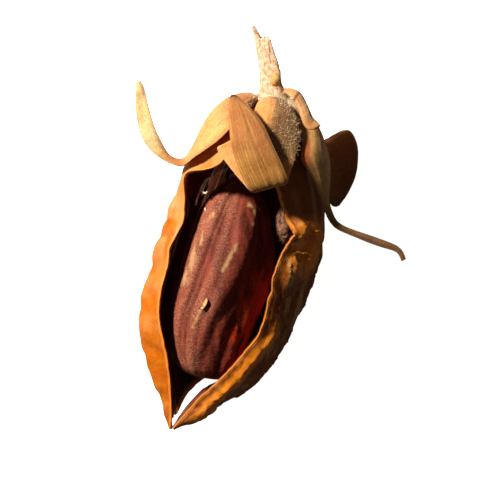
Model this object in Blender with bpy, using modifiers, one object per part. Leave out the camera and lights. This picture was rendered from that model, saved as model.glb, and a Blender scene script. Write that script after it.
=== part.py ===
"""A ripe jojoba fruit that has split open, picked with a piece of its stalk and lying on its back.

The husk has three valves that stay joined to the stalk's end and part from their tips upwards.
One seed lies between them, with a shrivelled second ovule beside it. Six dried sepals spread over
the husk's shoulder: one of them is short, one folds back over itself, and two end in curled tails.

+Y runs from the husk's tip to the stalk, +Z points out of the open front, and +X is to the right
of someone who looks into the opening. The sizes below are in millimetres.
"""

import math

import bmesh
import bpy
import numpy as np
from mathutils import Matrix, Vector
from mathutils.bvhtree import BVHTree

MM = 0.001
SHARP_ANGLE = math.radians(50)

# Driving dimensions
SEED_LENGTH = 16.6
SEED_WIDTH = 7.6
SEED_DEPTH = 7.6
HUSK_WALL = 0.65
SEPAL_THICKNESS = 0.6
SEPAL_CLEARANCE = 0.18
RECEPTACLE_RADIUS = 1.3
STALK_RADIUS = 0.8

# Relief of the husk: ribs that run lengthwise and wander a little, and puckers that cross them
RIBS_PER_VALVE = 3
RIB_WANDER = 0.9
RIB_BENDS = 7
PUCKERS = 8
PUCKER_SLANT = 1.7
PUCKERS_FROM = 0.25
RIB_HEIGHT = 0.2
BACK_RIB_HEIGHT = 0.1

# How far the corner of a side valve's section lies towards its edges, from 0 for a flat fold to 1
SECTION_FULLNESS = 0.6

# A sepal follows the husk where it comes this close to it
HUSK_REACH = 2.0

# Where the husk begins at the stalk and where it ends
STEM_END = Vector((0.1, 10.0, 6.9))
TIP = Vector((-8.0, -16.2, 5.0))

# The seed's lengthwise grooves: the angle round the seed in degrees at its stalk end and at its other
# end (0 is its right side, 90 its front), then half the groove's width in degrees, and its depth
SEED_GROOVES = [
    (104, 136, 9, 0.30), (28, 100, 10, 0.26), (150, 166, 11, 0.18), (8, 78, 22, 0.42),
    (200, 212, 14, 0.20), (246, 250, 12, 0.18), (292, 288, 14, 0.20), (338, 348, 12, 0.18),
]

# The seed's middle, and the way from its stalk end to its other end
SEED_MIDDLE = Vector((-3.60, -4.0, 5.20))
SEED_AXIS = Vector((-0.17, -1.0, -0.04)).normalized()
# How far the seed's fat lower half bows towards the left valve
SEED_BOW = 0.62

OVULE_MIDDLE = Vector((1.15, 0.15, 5.6))
OVULE_RADII = Vector((0.75, 1.1, 1.6))
OVULE_WRINKLE = 0.09

# The stalk from the receptacle to its torn end, the splinter there and the scale leaf: x, y, z, radius
STALK_PATH = [
    (0.10, 10.20, 6.90, 0.40 * RECEPTACLE_RADIUS), (0.10, 10.56, 6.90, 0.78 * RECEPTACLE_RADIUS),
    (0.10, 10.80, 6.90, RECEPTACLE_RADIUS), (0.08, 11.05, 6.90, 0.92 * RECEPTACLE_RADIUS),
    (0.00, 11.45, 6.95, 1.15 * STALK_RADIUS), (-0.05, 12.00, 7.00, STALK_RADIUS),
    (-0.10, 12.80, 7.00, STALK_RADIUS), (-0.22, 13.60, 7.05, 0.90 * STALK_RADIUS),
    (-0.38, 14.40, 7.10, 0.78 * STALK_RADIUS), (-0.48, 15.25, 7.10, 0.55 * STALK_RADIUS),
]
SPLINTER_PATH = [
    (-0.70, 13.90, 7.10, 0.34), (-0.92, 14.60, 7.15, 0.32), (-1.15, 15.30, 7.20, 0.27),
    (-1.42, 16.05, 7.25, 0.16),
]
SCALE_LEAF_PATH = [
    (0.20, 11.45, 7.45, 0.20), (0.38, 11.75, 7.62, 0.36), (0.52, 12.10, 7.55, 0.33),
    (0.62, 12.50, 7.35, 0.16),
]

# The whole fruit is moved by this, so that the origin lies under the middle of its outline
CENTRING = Vector((0.022, 0.108, 0.002))

# Valve outlines. Each rail runs from the stalk's end to the tip: the edge beside the opening,
# the line where the valve bulges furthest sideways, and the edge behind.
LEFT_VALVE = {
    "front": [
        (-0.30, 9.90, 7.5), (-1.95, 8.40, 9.8), (-3.10, 6.30, 10.8), (-4.10, 4.95, 10.4),
        (-5.40, 4.55, 9.5), (-6.45, 4.40, 8.8), (-6.90, 3.85, 8.3), (-6.90, 2.80, 8.0),
        (-6.85, 1.50, 7.9), (-7.10, 0.10, 7.9), (-7.95, -1.45, 7.9), (-8.15, -2.90, 7.9),
        (-8.70, -4.90, 7.8), (-8.90, -7.05, 7.7), (-8.60, -9.05, 7.4), (-8.25, -11.05, 6.9),
        (-8.00, -13.20, 6.2), (-7.95, -14.80, 5.6), (-8.05, -16.28, 4.95),
    ],
    "side": [
        (-0.68, 9.90, 6.9), (-3.00, 8.90, 6.8), (-4.75, 7.20, 6.7), (-6.10, 5.90, 6.6),
        (-6.75, 5.20, 6.5), (-7.00, 4.65, 6.4), (-7.15, 3.90, 6.3), (-7.45, 2.90, 6.2),
        (-7.95, 1.70, 6.0), (-8.50, 0.25, 5.9), (-9.00, -1.45, 5.7), (-9.50, -3.05, 5.6),
        (-10.05, -5.05, 5.5), (-10.45, -7.30, 5.4), (-10.45, -9.10, 5.3), (-10.02, -11.10, 5.2),
        (-9.28, -13.10, 5.1), (-8.68, -14.60, 4.9), (-8.14, -16.32, 4.7),
    ],
    "back": [
        (-0.55, 9.90, 6.4), (-1.90, 8.80, 5.2), (-3.20, 7.10, 4.2), (-4.20, 5.70, 3.5),
        (-4.70, 4.95, 3.2), (-5.00, 4.35, 3.0), (-5.20, 3.70, 2.8), (-5.55, 2.70, 2.6),
        (-6.00, 1.45, 2.4), (-6.50, 0.00, 2.25), (-7.00, -1.70, 2.15), (-7.40, -3.30, 2.1),
        (-7.75, -5.20, 2.1), (-8.00, -7.30, 2.2), (-8.10, -9.10, 2.4), (-8.10, -11.10, 3.0),
        (-8.00, -13.00, 3.9), (-8.00, -14.50, 4.3), (-8.05, -16.20, 4.45),
    ],
}
RIGHT_VALVE = {
    "front": [
        (0.45, 9.90, 7.5), (0.35, 8.20, 10.3), (0.35, 6.15, 10.8), (0.35, 4.40, 10.8),
        (0.60, 2.80, 10.6), (1.00, 1.30, 10.3), (1.40, 0.20, 10.3), (1.85, -0.55, 10.4),
        (1.40, -1.30, 10.3), (0.70, -2.40, 10.1), (0.30, -3.85, 9.9), (-0.10, -5.75, 9.6),
        (-0.75, -8.10, 9.2), (-1.90, -9.85, 8.7), (-3.15, -11.30, 8.1), (-4.60, -12.70, 7.2),
        (-6.20, -14.25, 6.6), (-7.80, -16.20, 6.15),
    ],
    "side": [
        (0.88, 9.90, 6.9), (2.05, 8.55, 6.9), (3.00, 6.80, 6.8), (3.55, 5.10, 6.7),
        (3.95, 3.35, 6.5), (4.20, 1.70, 6.3), (4.28, 0.50, 6.2), (4.25, -0.65, 6.1),
        (4.12, -1.70, 6.0), (3.84, -2.95, 5.9), (3.28, -4.40, 5.8), (2.60, -6.15, 5.7),
        (1.70, -8.25, 5.6), (0.60, -10.15, 5.5), (-0.70, -12.10, 5.4), (-2.45, -13.35, 5.3),
        (-5.00, -14.70, 5.6), (-7.74, -16.32, 5.85),
    ],
    "back": [
        (0.75, 9.90, 6.4), (1.30, 8.45, 5.1), (1.70, 6.65, 4.0), (1.90, 4.95, 3.4),
        (2.00, 3.20, 3.0), (2.00, 1.60, 2.7), (1.95, 0.40, 2.5), (1.85, -0.75, 2.4),
        (1.70, -1.90, 2.3), (1.40, -3.10, 2.2), (0.95, -4.50, 2.15), (0.30, -6.20, 2.15),
        (-0.55, -8.35, 2.25), (-1.60, -10.20, 2.55), (-2.60, -12.02, 3.0), (-4.72, -13.08, 3.72),
        (-6.60, -14.45, 5.1), (-7.85, -16.20, 5.55),
    ],
}
# The back valve lies underneath, between the other two: left edge, keel and right edge
BACK_VALVE = {
    "left": [
        (-0.40, 9.90, 5.9), (-1.95, 8.60, 4.0), (-3.25, 6.95, 2.95), (-4.25, 5.55, 2.3),
        (-4.95, 4.30, 1.85), (-5.50, 2.80, 1.55), (-6.00, 1.40, 1.35), (-6.50, -0.05, 1.2),
        (-6.95, -1.75, 1.1), (-7.35, -3.50, 1.05), (-7.65, -5.30, 1.05), (-7.95, -7.20, 1.1),
        (-8.10, -9.00, 1.35), (-8.10, -10.90, 1.9), (-8.00, -12.80, 2.55), (-7.92, -14.20, 3.05),
        (-7.90, -15.20, 3.3),
    ],
    "keel": [
        (0.10, 9.90, 5.8), (0.00, 8.50, 3.5), (-0.50, 6.80, 2.2), (-0.90, 5.20, 1.5),
        (-1.30, 3.70, 1.0), (-1.60, 2.20, 0.65), (-1.95, 0.80, 0.4), (-2.30, -0.70, 0.2),
        (-2.70, -2.30, 0.05), (-3.10, -4.00, -0.1), (-3.55, -5.70, -0.15), (-4.10, -7.40, -0.1),
        (-4.80, -9.10, 0.15), (-5.60, -10.80, 0.7), (-6.50, -12.55, 1.6), (-7.20, -13.90, 2.5),
        (-7.70, -15.20, 3.1),
    ],
    "right": [
        (0.60, 9.90, 5.9), (1.40, 8.35, 3.95), (1.75, 6.60, 2.75), (1.95, 4.95, 2.2),
        (2.05, 3.30, 1.8), (2.05, 1.80, 1.5), (2.00, 0.40, 1.3), (1.85, -1.05, 1.15),
        (1.60, -2.65, 1.05), (1.15, -4.30, 1.0), (0.50, -6.00, 1.0), (-0.45, -7.80, 1.1),
        (-1.75, -9.50, 1.35), (-3.30, -11.00, 1.8), (-5.10, -12.10, 2.4), (-6.60, -13.40, 2.9),
        (-7.50, -15.10, 3.2),
    ],
}

# Sepal margins from the receptacle outwards, and how far the blade bulges between them
SEPALS = {
    "sepal_left": {
        "upper": [
            (-1.15, 10.05, 6.75), (-1.92, 10.42, 6.8), (-3.10, 10.02, 6.9), (-4.30, 9.20, 6.9),
            (-5.20, 8.05, 6.9), (-5.85, 6.90, 7.1), (-6.40, 5.95, 7.5), (-7.05, 5.45, 8.1),
            (-7.90, 5.65, 8.4), (-8.52, 6.45, 8.7), (-9.08, 7.55, 9.1), (-9.52, 8.75, 9.3),
            (-9.82, 9.95, 9.3), (-10.05, 11.00, 9.5), (-10.36, 11.62, 9.6),
        ],
        "lower": [
            (-0.85, 10.05, 7.7), (-1.45, 9.95, 8.6), (-2.35, 9.00, 9.9), (-3.00, 8.10, 10.6),
            (-3.60, 7.40, 10.9), (-4.60, 6.50, 10.7), (-5.90, 5.65, 9.8), (-6.90, 4.90, 8.9),
            (-7.80, 5.00, 8.7), (-8.85, 5.50, 8.5), (-9.80, 6.40, 8.4), (-10.40, 7.55, 8.5),
            (-10.68, 8.95, 8.7), (-10.74, 10.30, 9.0), (-10.74, 11.42, 9.4),
        ],
        "bulge": [0.1, 0.4, 0.8, 0.9, 0.8, 0.5, 0.2, 0.0, -0.1, -0.1, -0.1, -0.1, -0.1, 0.0, 0.0],
    },
    "sepal_right": {
        "upper": [
            (1.35, 10.05, 6.75), (2.10, 9.80, 7.0), (3.20, 8.50, 7.8), (4.05, 7.10, 8.3),
            (4.50, 6.00, 8.5), (4.72, 4.80, 8.5), (4.68, 3.45, 8.3), (4.65, 2.25, 8.2),
            (4.92, 1.22, 8.1), (5.40, 0.40, 8.2), (6.45, -0.16, 8.2), (7.90, -0.65, 8.1),
            (9.30, -1.15, 8.0), (10.35, -1.70, 7.9), (10.80, -2.55, 7.8),
        ],
        "lower": [
            (1.10, 10.05, 7.7), (1.65, 9.50, 8.7), (2.30, 8.00, 9.6), (2.50, 6.40, 10.2),
            (2.40, 5.30, 10.4), (3.00, 4.40, 10.0), (3.65, 3.10, 9.2), (4.10, 2.05, 8.6),
            (4.40, 1.05, 8.3), (5.05, 0.00, 8.2), (6.20, -0.60, 8.2), (7.65, -1.20, 8.1),
            (9.10, -1.70, 8.0), (10.05, -2.05, 7.9), (10.45, -2.75, 7.8),
        ],
        "bulge": [-0.1, -0.3, -0.6, -0.7, -0.6, -0.4, -0.2, 0, 0, 0, 0, 0, 0, 0, 0],
    },
    "sepal_back_right": {
        "upper": [
            (1.30, 10.05, 6.3), (2.10, 9.40, 5.9), (3.05, 8.25, 5.5), (4.05, 7.00, 5.7),
            (5.00, 6.90, 5.9), (6.10, 7.75, 5.6), (6.90, 6.90, 4.8), (7.08, 5.40, 3.8),
            (6.84, 3.90, 2.8), (6.30, 2.70, 1.5), (5.80, 2.05, 0.25),
        ],
        "lower": [
            (0.70, 10.05, 5.6), (1.20, 9.60, 4.3), (1.95, 8.20, 3.4), (2.60, 6.70, 3.0),
            (3.10, 5.40, 2.8), (3.55, 4.30, 2.6), (3.95, 3.40, 2.4), (4.35, 2.70, 2.0),
            (4.75, 2.10, 1.4), (5.10, 1.75, 0.75), (5.45, 1.70, 0.15),
        ],
        "bulge": [0.0, 0.3, 0.5, 0.6, 0.7, 0.7, 0.6, 0.5, 0.3, 0.1, 0.0],
    },
    "sepal_back_left": {
        "upper": [
            (0.30, 10.05, 5.6), (-0.10, 9.50, 3.9), (-0.90, 8.10, 2.2), (-1.90, 6.70, 1.3),
            (-3.10, 5.50, 0.8), (-4.30, 4.80, 0.45), (-5.30, 4.60, 0.33), (-5.90, 4.75, 0.28),
        ],
        "lower": [
            (-0.85, 10.05, 6.1), (-1.80, 9.90, 5.1), (-3.20, 9.00, 3.9), (-4.30, 7.80, 3.0),
            (-5.10, 6.60, 2.2), (-5.75, 5.75, 1.35), (-6.10, 5.30, 0.75), (-6.35, 5.20, 0.28),
        ],
        "bulge": [0.0, 0.3, 0.5, 0.5, 0.4, 0.3, 0.1, 0.0],
    },
    "sepal_short": {
        "upper": [
            (1.30, 10.85, 8.1), (2.15, 10.75, 8.6), (2.72, 9.78, 9.2), (3.12, 8.85, 9.9),
            (3.60, 8.35, 10.4), (3.95, 8.00, 10.8),
        ],
        "lower": [
            (1.00, 10.75, 8.9), (1.75, 10.15, 9.9), (2.20, 9.20, 10.5), (2.45, 8.40, 10.9),
            (2.80, 7.80, 11.1), (3.35, 7.65, 11.1),
        ],
        "bulge": [-0.1, -0.2, -0.3, -0.3, -0.1, 0.0],
    },
    "sepal_front": {
        "upper": [
            (-0.45, 10.05, 8.2), (-1.00, 9.85, 9.6), (-1.60, 8.60, 10.9), (-3.10, 6.90, 11.35),
            (-4.20, 6.30, 11.2), (-3.85, 5.50, 11.3), (-2.90, 4.25, 11.45), (-1.95, 3.15, 11.6),
            (-1.60, 2.75, 12.0), (-2.00, 3.35, 12.4), (-2.60, 4.70, 12.45), (-3.10, 6.40, 12.4),
            (-3.30, 8.15, 12.2), (-3.30, 9.50, 11.9), (-3.15, 10.40, 11.6),
        ],
        "lower": [
            (0.65, 10.05, 8.2), (1.25, 9.90, 9.6), (1.80, 8.95, 10.4), (2.20, 7.75, 10.7),
            (2.20, 6.70, 10.9), (2.00, 5.80, 11.1), (1.70, 4.80, 11.3), (1.40, 3.85, 11.55),
            (1.32, 3.50, 12.0), (1.25, 3.90, 12.4), (0.75, 5.10, 12.5), (0.10, 6.50, 12.5),
            (-0.75, 8.25, 12.35), (-1.95, 9.70, 12.0), (-2.80, 10.40, 11.65),
        ],
        "bulge": [0.1, 0.3, 0.5, 0.5, 0.4, 0.3, 0.2, 0.1, 0.0, -0.1, -0.2, -0.2, -0.2, -0.1, 0.0],
    },
}


def spline(stations):
    """A function of 0..1 that follows a natural cubic spline through evenly numbered stations."""
    points = np.asarray(stations, float)
    last = len(points) - 1
    system = np.eye(last + 1)
    bend = np.zeros_like(points)
    for i in range(1, last):
        system[i, i - 1 : i + 2] = 1, 4, 1
        bend[i] = 6 * (points[i + 1] - 2 * points[i] + points[i - 1])
    curl = np.linalg.solve(system, bend)

    def at(share):
        place = min(max(share, 0.0), 1.0) * last
        i = min(int(place), last - 1)
        b = place - i
        a = 1 - b
        straight = a * points[i] + b * points[i + 1]
        return straight + ((a**3 - a) * curl[i] + (b**3 - b) * curl[i + 1]) / 6

    return at


def side_valve(rails):
    """Surface of a side valve: each section bends from its front edge round its side to its back."""
    front, side, back = (spline(rails[name]) for name in ("front", "side", "back"))

    def point(along, across):
        knee = side(along)
        edge = front(along) if across < 0.5 else back(along)
        share = abs(2 * across - 1)
        corner = knee.copy()
        corner[2] += SECTION_FULLNESS * (edge[2] - knee[2])
        return (1 - share) ** 2 * knee + 2 * share * (1 - share) * corner + share**2 * edge

    return point


def back_valve(rails):
    """Surface of the back valve: each section is an arc through its two edges and its keel."""
    left, keel, right = (spline(rails[name]) for name in ("left", "keel", "right"))

    def point(along, across):
        from_left, from_right = 1 - across, across
        return (
            from_left * (from_left - from_right) * left(along)
            + 4 * from_left * from_right * keel(along)
            + from_right * (from_right - from_left) * right(along)
        )

    return point


def sepal_blade(margins):
    """Surface of a sepal: between its margins, and raised along its normal by the bulge."""
    upper, lower = spline(margins["upper"]), spline(margins["lower"])
    bulge = spline(np.array(margins["bulge"], float)[:, None])
    step = 0.01

    def point(along, across):
        middle = (upper(along) + lower(along)) / 2
        half = (lower(along) - upper(along)) / 2
        before, after = max(along - step, 0), min(along + step, 1)
        run = upper(after) + lower(after) - upper(before) - lower(before)
        normal = np.cross(half, run)
        normal /= np.linalg.norm(normal)
        share = 2 * across - 1
        return middle + share * half - bulge(along)[0] * (1 - share**2) * normal

    return point


def husk_axis(y):
    """Middle of the husk at a height y, which tells its outside from its inside."""
    share = (STEM_END.y - y) / (STEM_END.y - TIP.y)
    return STEM_END.lerp(TIP, share)


def ridged(surface, shift, height):
    """A valve's surface with its low lengthwise ribs and the puckers across its lower half."""
    step = 0.004

    def point(along, across):
        here = Vector(surface(along, across))
        u0, u1 = max(along - step, 0), min(along + step, 1)
        v0, v1 = max(across - step, 0), min(across + step, 1)
        lengthwise = Vector(surface(u1, across)) - Vector(surface(u0, across))
        crosswise = Vector(surface(along, v1)) - Vector(surface(along, v0))
        outward = lengthwise.cross(crosswise).normalized()
        if outward.dot(here - husk_axis(here.y)) < 0:
            outward.negate()
        ends = math.sin(math.pi * along) ** 0.5 * math.sin(math.pi * across) ** 0.7
        wander = shift + RIB_WANDER * math.sin(RIB_BENDS * along)
        ribs = math.cos(math.tau * RIBS_PER_VALVE * across + wander)
        below = max(0.0, along - PUCKERS_FROM) / (1 - PUCKERS_FROM)
        puckers = math.sin(math.tau * (PUCKERS * along + PUCKER_SLANT * across) + shift)
        puckers *= math.sin(math.pi * below)
        return here + outward * (height * ends * (0.6 * ribs + 0.4 * puckers))

    return point


def laid_on(blade, husk, clearance):
    """A sepal's surface with every point that would sink into the husk lifted off it."""

    def point(along, across):
        here = Vector(blade(along, across))
        for _ in range(3):
            for sheet in husk:
                spot, normal, _, distance = sheet.find_nearest(here)
                if normal.dot(spot - husk_axis(spot.y)) < 0:
                    normal = -normal
                height = (here - spot).dot(normal)
                facing = abs(height) > 0.8 * distance
                if facing and height < clearance and distance < HUSK_REACH:
                    here = spot + normal * clearance
                elif distance < clearance:
                    here = spot + (here - spot).normalized() * clearance
        return here

    return point


def material(name, colour, roughness):
    made = bpy.data.materials.new(name)
    made.use_nodes = True
    shader = made.node_tree.nodes["Principled BSDF"]
    shader.inputs["Base Color"].default_value = (*colour, 1.0)
    shader.inputs["Roughness"].default_value = roughness
    shader.inputs["Metallic"].default_value = 0.0
    return made


def add_object(name, mesh, finish, collection):
    mesh.shade_smooth()
    mesh.set_sharp_from_angle(angle=SHARP_ANGLE)
    made = bpy.data.objects.new(name, mesh)
    made.data.materials.append(finish)
    collection.objects.link(made)
    return made


def sheet(point, lengthwise, crosswise):
    """An open sheet in millimetres: a grid laid on point(along, across) and split into triangles."""
    bm = bmesh.new()
    bmesh.ops.create_grid(bm, x_segments=lengthwise, y_segments=crosswise, size=1.0)
    for vert in bm.verts:
        vert.co = point((vert.co.x + 1) / 2, (vert.co.y + 1) / 2)
    bmesh.ops.triangulate(bm, faces=bm.faces)
    return bm


def shell(name, point, lengthwise, crosswise, thickness, offset, finish, collection):
    """A sheet with a thickness, as an object in metres."""
    bm = sheet(point, lengthwise, crosswise)
    for vert in bm.verts:
        vert.co = (vert.co + CENTRING) * MM
    mesh = bpy.data.meshes.new(name)
    bm.to_mesh(mesh)
    bm.free()
    made = add_object(name, mesh, finish, collection)
    wall = made.modifiers.new("Thickness", "SOLIDIFY")
    wall.thickness = thickness * MM
    wall.offset = offset
    wall.use_even_offset = True
    return made


def groove_depth(angle, height):
    """How deep the seed's grooves are at an angle round it and a height from -1 to 1."""
    depth = 0.0
    for start, end, width, deepest in SEED_GROOVES:
        middle = start + (end - start) * (height + 1) / 2
        off = (math.degrees(angle) - middle + 180) % 360 - 180
        depth += deepest * math.exp(-((off / width) ** 2))
    return depth


def seed_radius(height):
    """The seed's half width as a share of its greatest, at a height from -1 to 1."""
    return max(0.0, 1 - height**2) ** (0.44 - 0.17 * height)


def seed_bow(height):
    """How far the seed's middle line lies to the left of its axis."""
    return SEED_BOW * math.sin(math.pi * min(max((height + 0.2) / 1.6, 0), 1)) ** 2


def seed(finish, collection):
    """The seed: a long egg with lengthwise furrows, narrow towards the stalk and blunt towards the tip."""
    side = Vector((0, 0, 1)).cross(SEED_AXIS).normalized()
    front = SEED_AXIS.cross(side)
    bm = bmesh.new()
    bmesh.ops.create_uvsphere(bm, u_segments=52, v_segments=24, radius=1.0)
    for vert in bm.verts:
        height = max(-1.0, min(1.0, vert.co.z))
        angle = math.atan2(vert.co.y, vert.co.x)
        round_off = seed_radius(height)
        relief = -groove_depth(angle, height) * round_off
        across = round_off * SEED_WIDTH / 2 + relief
        deep = round_off * SEED_DEPTH / 2 + relief
        vert.co = (
            SEED_MIDDLE
            + SEED_AXIS * (height * SEED_LENGTH / 2)
            + side * (math.cos(angle) * across - seed_bow(height))
            + front * (math.sin(angle) * deep)
            + CENTRING
        ) * MM
    mesh = bpy.data.meshes.new("seed")
    bm.to_mesh(mesh)
    bm.free()
    return add_object("seed", mesh, finish, collection)


def ovule(finish, collection):
    """The second ovule that never ripened: a small shrunken body beside the seed's upper end."""
    bm = bmesh.new()
    bmesh.ops.create_uvsphere(bm, u_segments=16, v_segments=10, radius=1.0)
    for vert in bm.verts:
        wrinkle = 1 + OVULE_WRINKLE * math.sin(7 * vert.co.z) * math.cos(5 * vert.co.x)
        vert.co.x *= OVULE_RADII.x * wrinkle
        vert.co.y *= OVULE_RADII.y * wrinkle
        vert.co.z *= OVULE_RADII.z
    upright_to_lengthwise = Matrix.Rotation(math.radians(-90), 3, "X")
    for vert in bm.verts:
        vert.co = (upright_to_lengthwise @ vert.co + OVULE_MIDDLE + CENTRING) * MM
    mesh = bpy.data.meshes.new("shrivelled_ovule")
    bm.to_mesh(mesh)
    bm.free()
    return add_object("shrivelled_ovule", mesh, finish, collection)


def tube(name, path, collection):
    """A round rod through points given as x, y, z and radius, as a closed mesh."""
    curve = bpy.data.curves.new(name, "CURVE")
    curve.dimensions = "3D"
    curve.bevel_depth = MM
    curve.bevel_resolution = 3
    curve.use_fill_caps = True
    run = curve.splines.new("POLY")
    run.points.add(len(path) - 1)
    for point, (x, y, z, radius) in zip(run.points, path):
        point.co = (*((Vector((x, y, z)) + CENTRING) * MM), 1.0)
        point.radius = radius
    rod = bpy.data.objects.new(name, curve)
    collection.objects.link(rod)
    bpy.context.view_layer.update()
    graph = bpy.context.evaluated_depsgraph_get()
    mesh = bpy.data.meshes.new_from_object(rod.evaluated_get(graph))
    bm = bmesh.new()
    bm.from_mesh(mesh)
    bmesh.ops.remove_doubles(bm, verts=bm.verts, dist=1e-6)
    bmesh.ops.recalc_face_normals(bm, faces=bm.faces)
    bm.to_mesh(mesh)
    bm.free()
    bpy.data.objects.remove(rod)
    made = bpy.data.objects.new(name, mesh)
    collection.objects.link(made)
    return made


def stalk(finish, collection, helpers):
    """The stalk with its torn end, the splinter there, the small scale leaf and the receptacle."""
    body = tube("stalk", STALK_PATH, collection)
    body.data.materials.append(finish)
    for name, path in (("splinter", SPLINTER_PATH), ("scale_leaf", SCALE_LEAF_PATH)):
        tube(name, path, helpers).hide_render = True
    weld = body.modifiers.new("Join", "BOOLEAN")
    weld.operation = "UNION"
    weld.operand_type = "COLLECTION"
    weld.collection = helpers
    bpy.context.view_layer.update()
    graph = bpy.context.evaluated_depsgraph_get()
    joined = bpy.data.meshes.new_from_object(body.evaluated_get(graph))
    joined.shade_smooth()
    joined.set_sharp_from_angle(angle=SHARP_ANGLE)
    body.modifiers.remove(weld)
    body.data = joined
    for helper in list(helpers.objects):
        bpy.data.objects.remove(helper)
    return body


def cut_flat(target, collection):
    """Cuts off what lies under the resting plane, which leaves a small flat spot on the keel."""
    wide, deep = 60 * MM, 10 * MM
    bpy.ops.mesh.primitive_cube_add(size=1.0)
    block = bpy.context.active_object
    block.name = "resting_plane"
    block.data.transform(Matrix.Diagonal((wide, wide, deep, 1.0)))
    block.data.transform(Matrix.Translation((0.0, 0.0, -deep / 2)))
    block.hide_render = True
    block.display_type = "WIRE"
    for owner in list(block.users_collection):
        owner.objects.unlink(block)
    collection.objects.link(block)
    flat = target.modifiers.new("Flat", "BOOLEAN")
    flat.operation = "DIFFERENCE"
    flat.object = block


def main():
    for old in list(bpy.data.objects):
        bpy.data.objects.remove(old)
    fruit = bpy.data.collections.new("jojoba_fruit")
    cutters = bpy.data.collections.new("cutters")
    helpers = bpy.data.collections.new("helpers")
    for made in (fruit, cutters, helpers):
        bpy.context.scene.collection.children.link(made)

    husk = material("husk", (0.52, 0.22, 0.05), 0.45)
    sepal = material("sepal", (0.50, 0.30, 0.14), 0.8)
    bark = material("stalk", (0.62, 0.45, 0.33), 0.9)
    kernel = material("seed", (0.22, 0.06, 0.04), 0.6)
    dark = material("ovule", (0.06, 0.04, 0.035), 0.85)

    surfaces = {
        "valve_left": ridged(side_valve(LEFT_VALVE), 0.4, RIB_HEIGHT),
        "valve_right": ridged(side_valve(RIGHT_VALVE), 2.1, RIB_HEIGHT),
        "valve_back": ridged(back_valve(BACK_VALVE), 1.2, BACK_RIB_HEIGHT),
    }
    husk_sheets = []
    for name, surface in surfaces.items():
        inward = -1.0 if name == "valve_right" else 1.0
        valve = shell(name, surface, 36, 12, HUSK_WALL, inward, husk, fruit)
        if name == "valve_back":
            cut_flat(valve, cutters)
        outside = sheet(surface, 24, 10)
        husk_sheets.append(BVHTree.FromBMesh(outside))
        outside.free()
    for name, margins in SEPALS.items():
        blade = laid_on(sepal_blade(margins), husk_sheets, SEPAL_THICKNESS / 2 + SEPAL_CLEARANCE)
        shell(name, blade, 2 * len(margins["upper"]), 6, SEPAL_THICKNESS, 0.0, sepal, fruit)
    seed(kernel, fruit)
    ovule(dark, fruit)
    stalk(bark, fruit, helpers)


main()
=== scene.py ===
"""The finished look of a split, dried jojoba fruit: husk, seed, shrunken ovule, sepals and stalk.

Each piece is modelled at its real size over the solid of the same name, in millimetres, and is
moved by CENTRING and turned into metres when its mesh is made. +Y runs from the husk's tip to the
stalk, +Z points out of the open front, and +X is to the right of someone who looks into it.
"""

import itertools
import math

import bpy
import numpy as np
from bpy.props import FloatProperty, FloatVectorProperty, IntProperty, PointerProperty
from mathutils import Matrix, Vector
from mathutils.bvhtree import BVHTree


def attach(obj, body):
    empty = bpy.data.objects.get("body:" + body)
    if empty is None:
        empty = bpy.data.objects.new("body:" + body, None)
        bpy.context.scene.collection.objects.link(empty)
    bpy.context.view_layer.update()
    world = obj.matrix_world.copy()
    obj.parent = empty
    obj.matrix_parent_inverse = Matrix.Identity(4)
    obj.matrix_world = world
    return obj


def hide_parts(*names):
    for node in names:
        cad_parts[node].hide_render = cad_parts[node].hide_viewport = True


bl_info = {
    "name": "Jojoba fruit",
    "version": (1, 0, 0),
    "blender": (4, 5, 0),
    "location": "3D View > Sidebar > Jojoba",
    "description": "Builds the husk, seed, sepals, stalk and finishes of a split jojoba fruit",
    "category": "Add Mesh",
}

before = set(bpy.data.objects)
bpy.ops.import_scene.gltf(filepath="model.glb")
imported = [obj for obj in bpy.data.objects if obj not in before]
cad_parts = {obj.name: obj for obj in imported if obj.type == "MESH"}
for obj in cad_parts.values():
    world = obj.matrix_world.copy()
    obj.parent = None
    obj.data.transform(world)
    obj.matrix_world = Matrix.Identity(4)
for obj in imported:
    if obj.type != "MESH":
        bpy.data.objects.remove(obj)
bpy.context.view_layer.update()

MM = 0.001
BODY = "root"
SHARP_ANGLE = math.radians(60)
CENTRING = np.array((0.022, 0.108, 0.002))
STEM_END = np.array((0.1, 10.0, 6.9))
TIP = np.array((-8.0, -16.2, 5.0))

# Relief of the husk, as in the solid: ribs that wander a little, and puckers that cross them
RIBS_PER_VALVE = 3
RIB_WANDER = 0.9
RIB_BENDS = 7
PUCKERS = 8
PUCKER_SLANT = 1.7
PUCKERS_FROM = 0.25
RIB_HEIGHT = 0.2
BACK_RIB_HEIGHT = 0.1
SECTION_FULLNESS = 0.6

# A sepal follows the husk where it comes this close to it, and keeps clear of it by this much
HUSK_REACH = 2.0
SEPAL_CLEARANCE = 0.36
# Columns across a blade before it is made finer, and veins across it
BLADE_COLUMNS = 7
VEINS = 5

# A sepal's point faces a valve where most of its distance to it, this share, is straight up from it
FACING_SHARE = 0.8
# Times that each point is lifted off all the valves
LIFT_ROUNDS = 3

# Rows along and columns across each kind of surface
SHEET_GRID = (25, 11)
LINING_GRID = (200, 14)
FLAKE_GRID = (16, 8)
ROD_GRID = (60, 28)
VALVE_GRID = (240, 90)
SEPAL_GRID = (150, 40)
SEED_GRID = (300, 200)
OVULE_GRID = (70, 70)
STALK_GRID = (220, 72)

SEED_LENGTH, SEED_WIDTH = 16.6, 7.6
SEED_MIDDLE = np.array((-3.60, -4.0, 5.20))
SEED_AXIS = np.array((-0.17, -1.0, -0.04)) / np.linalg.norm((-0.17, -1.0, -0.04))
# How far the seed's fat lower half bows towards the left valve
SEED_BOW = 0.62
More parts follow.
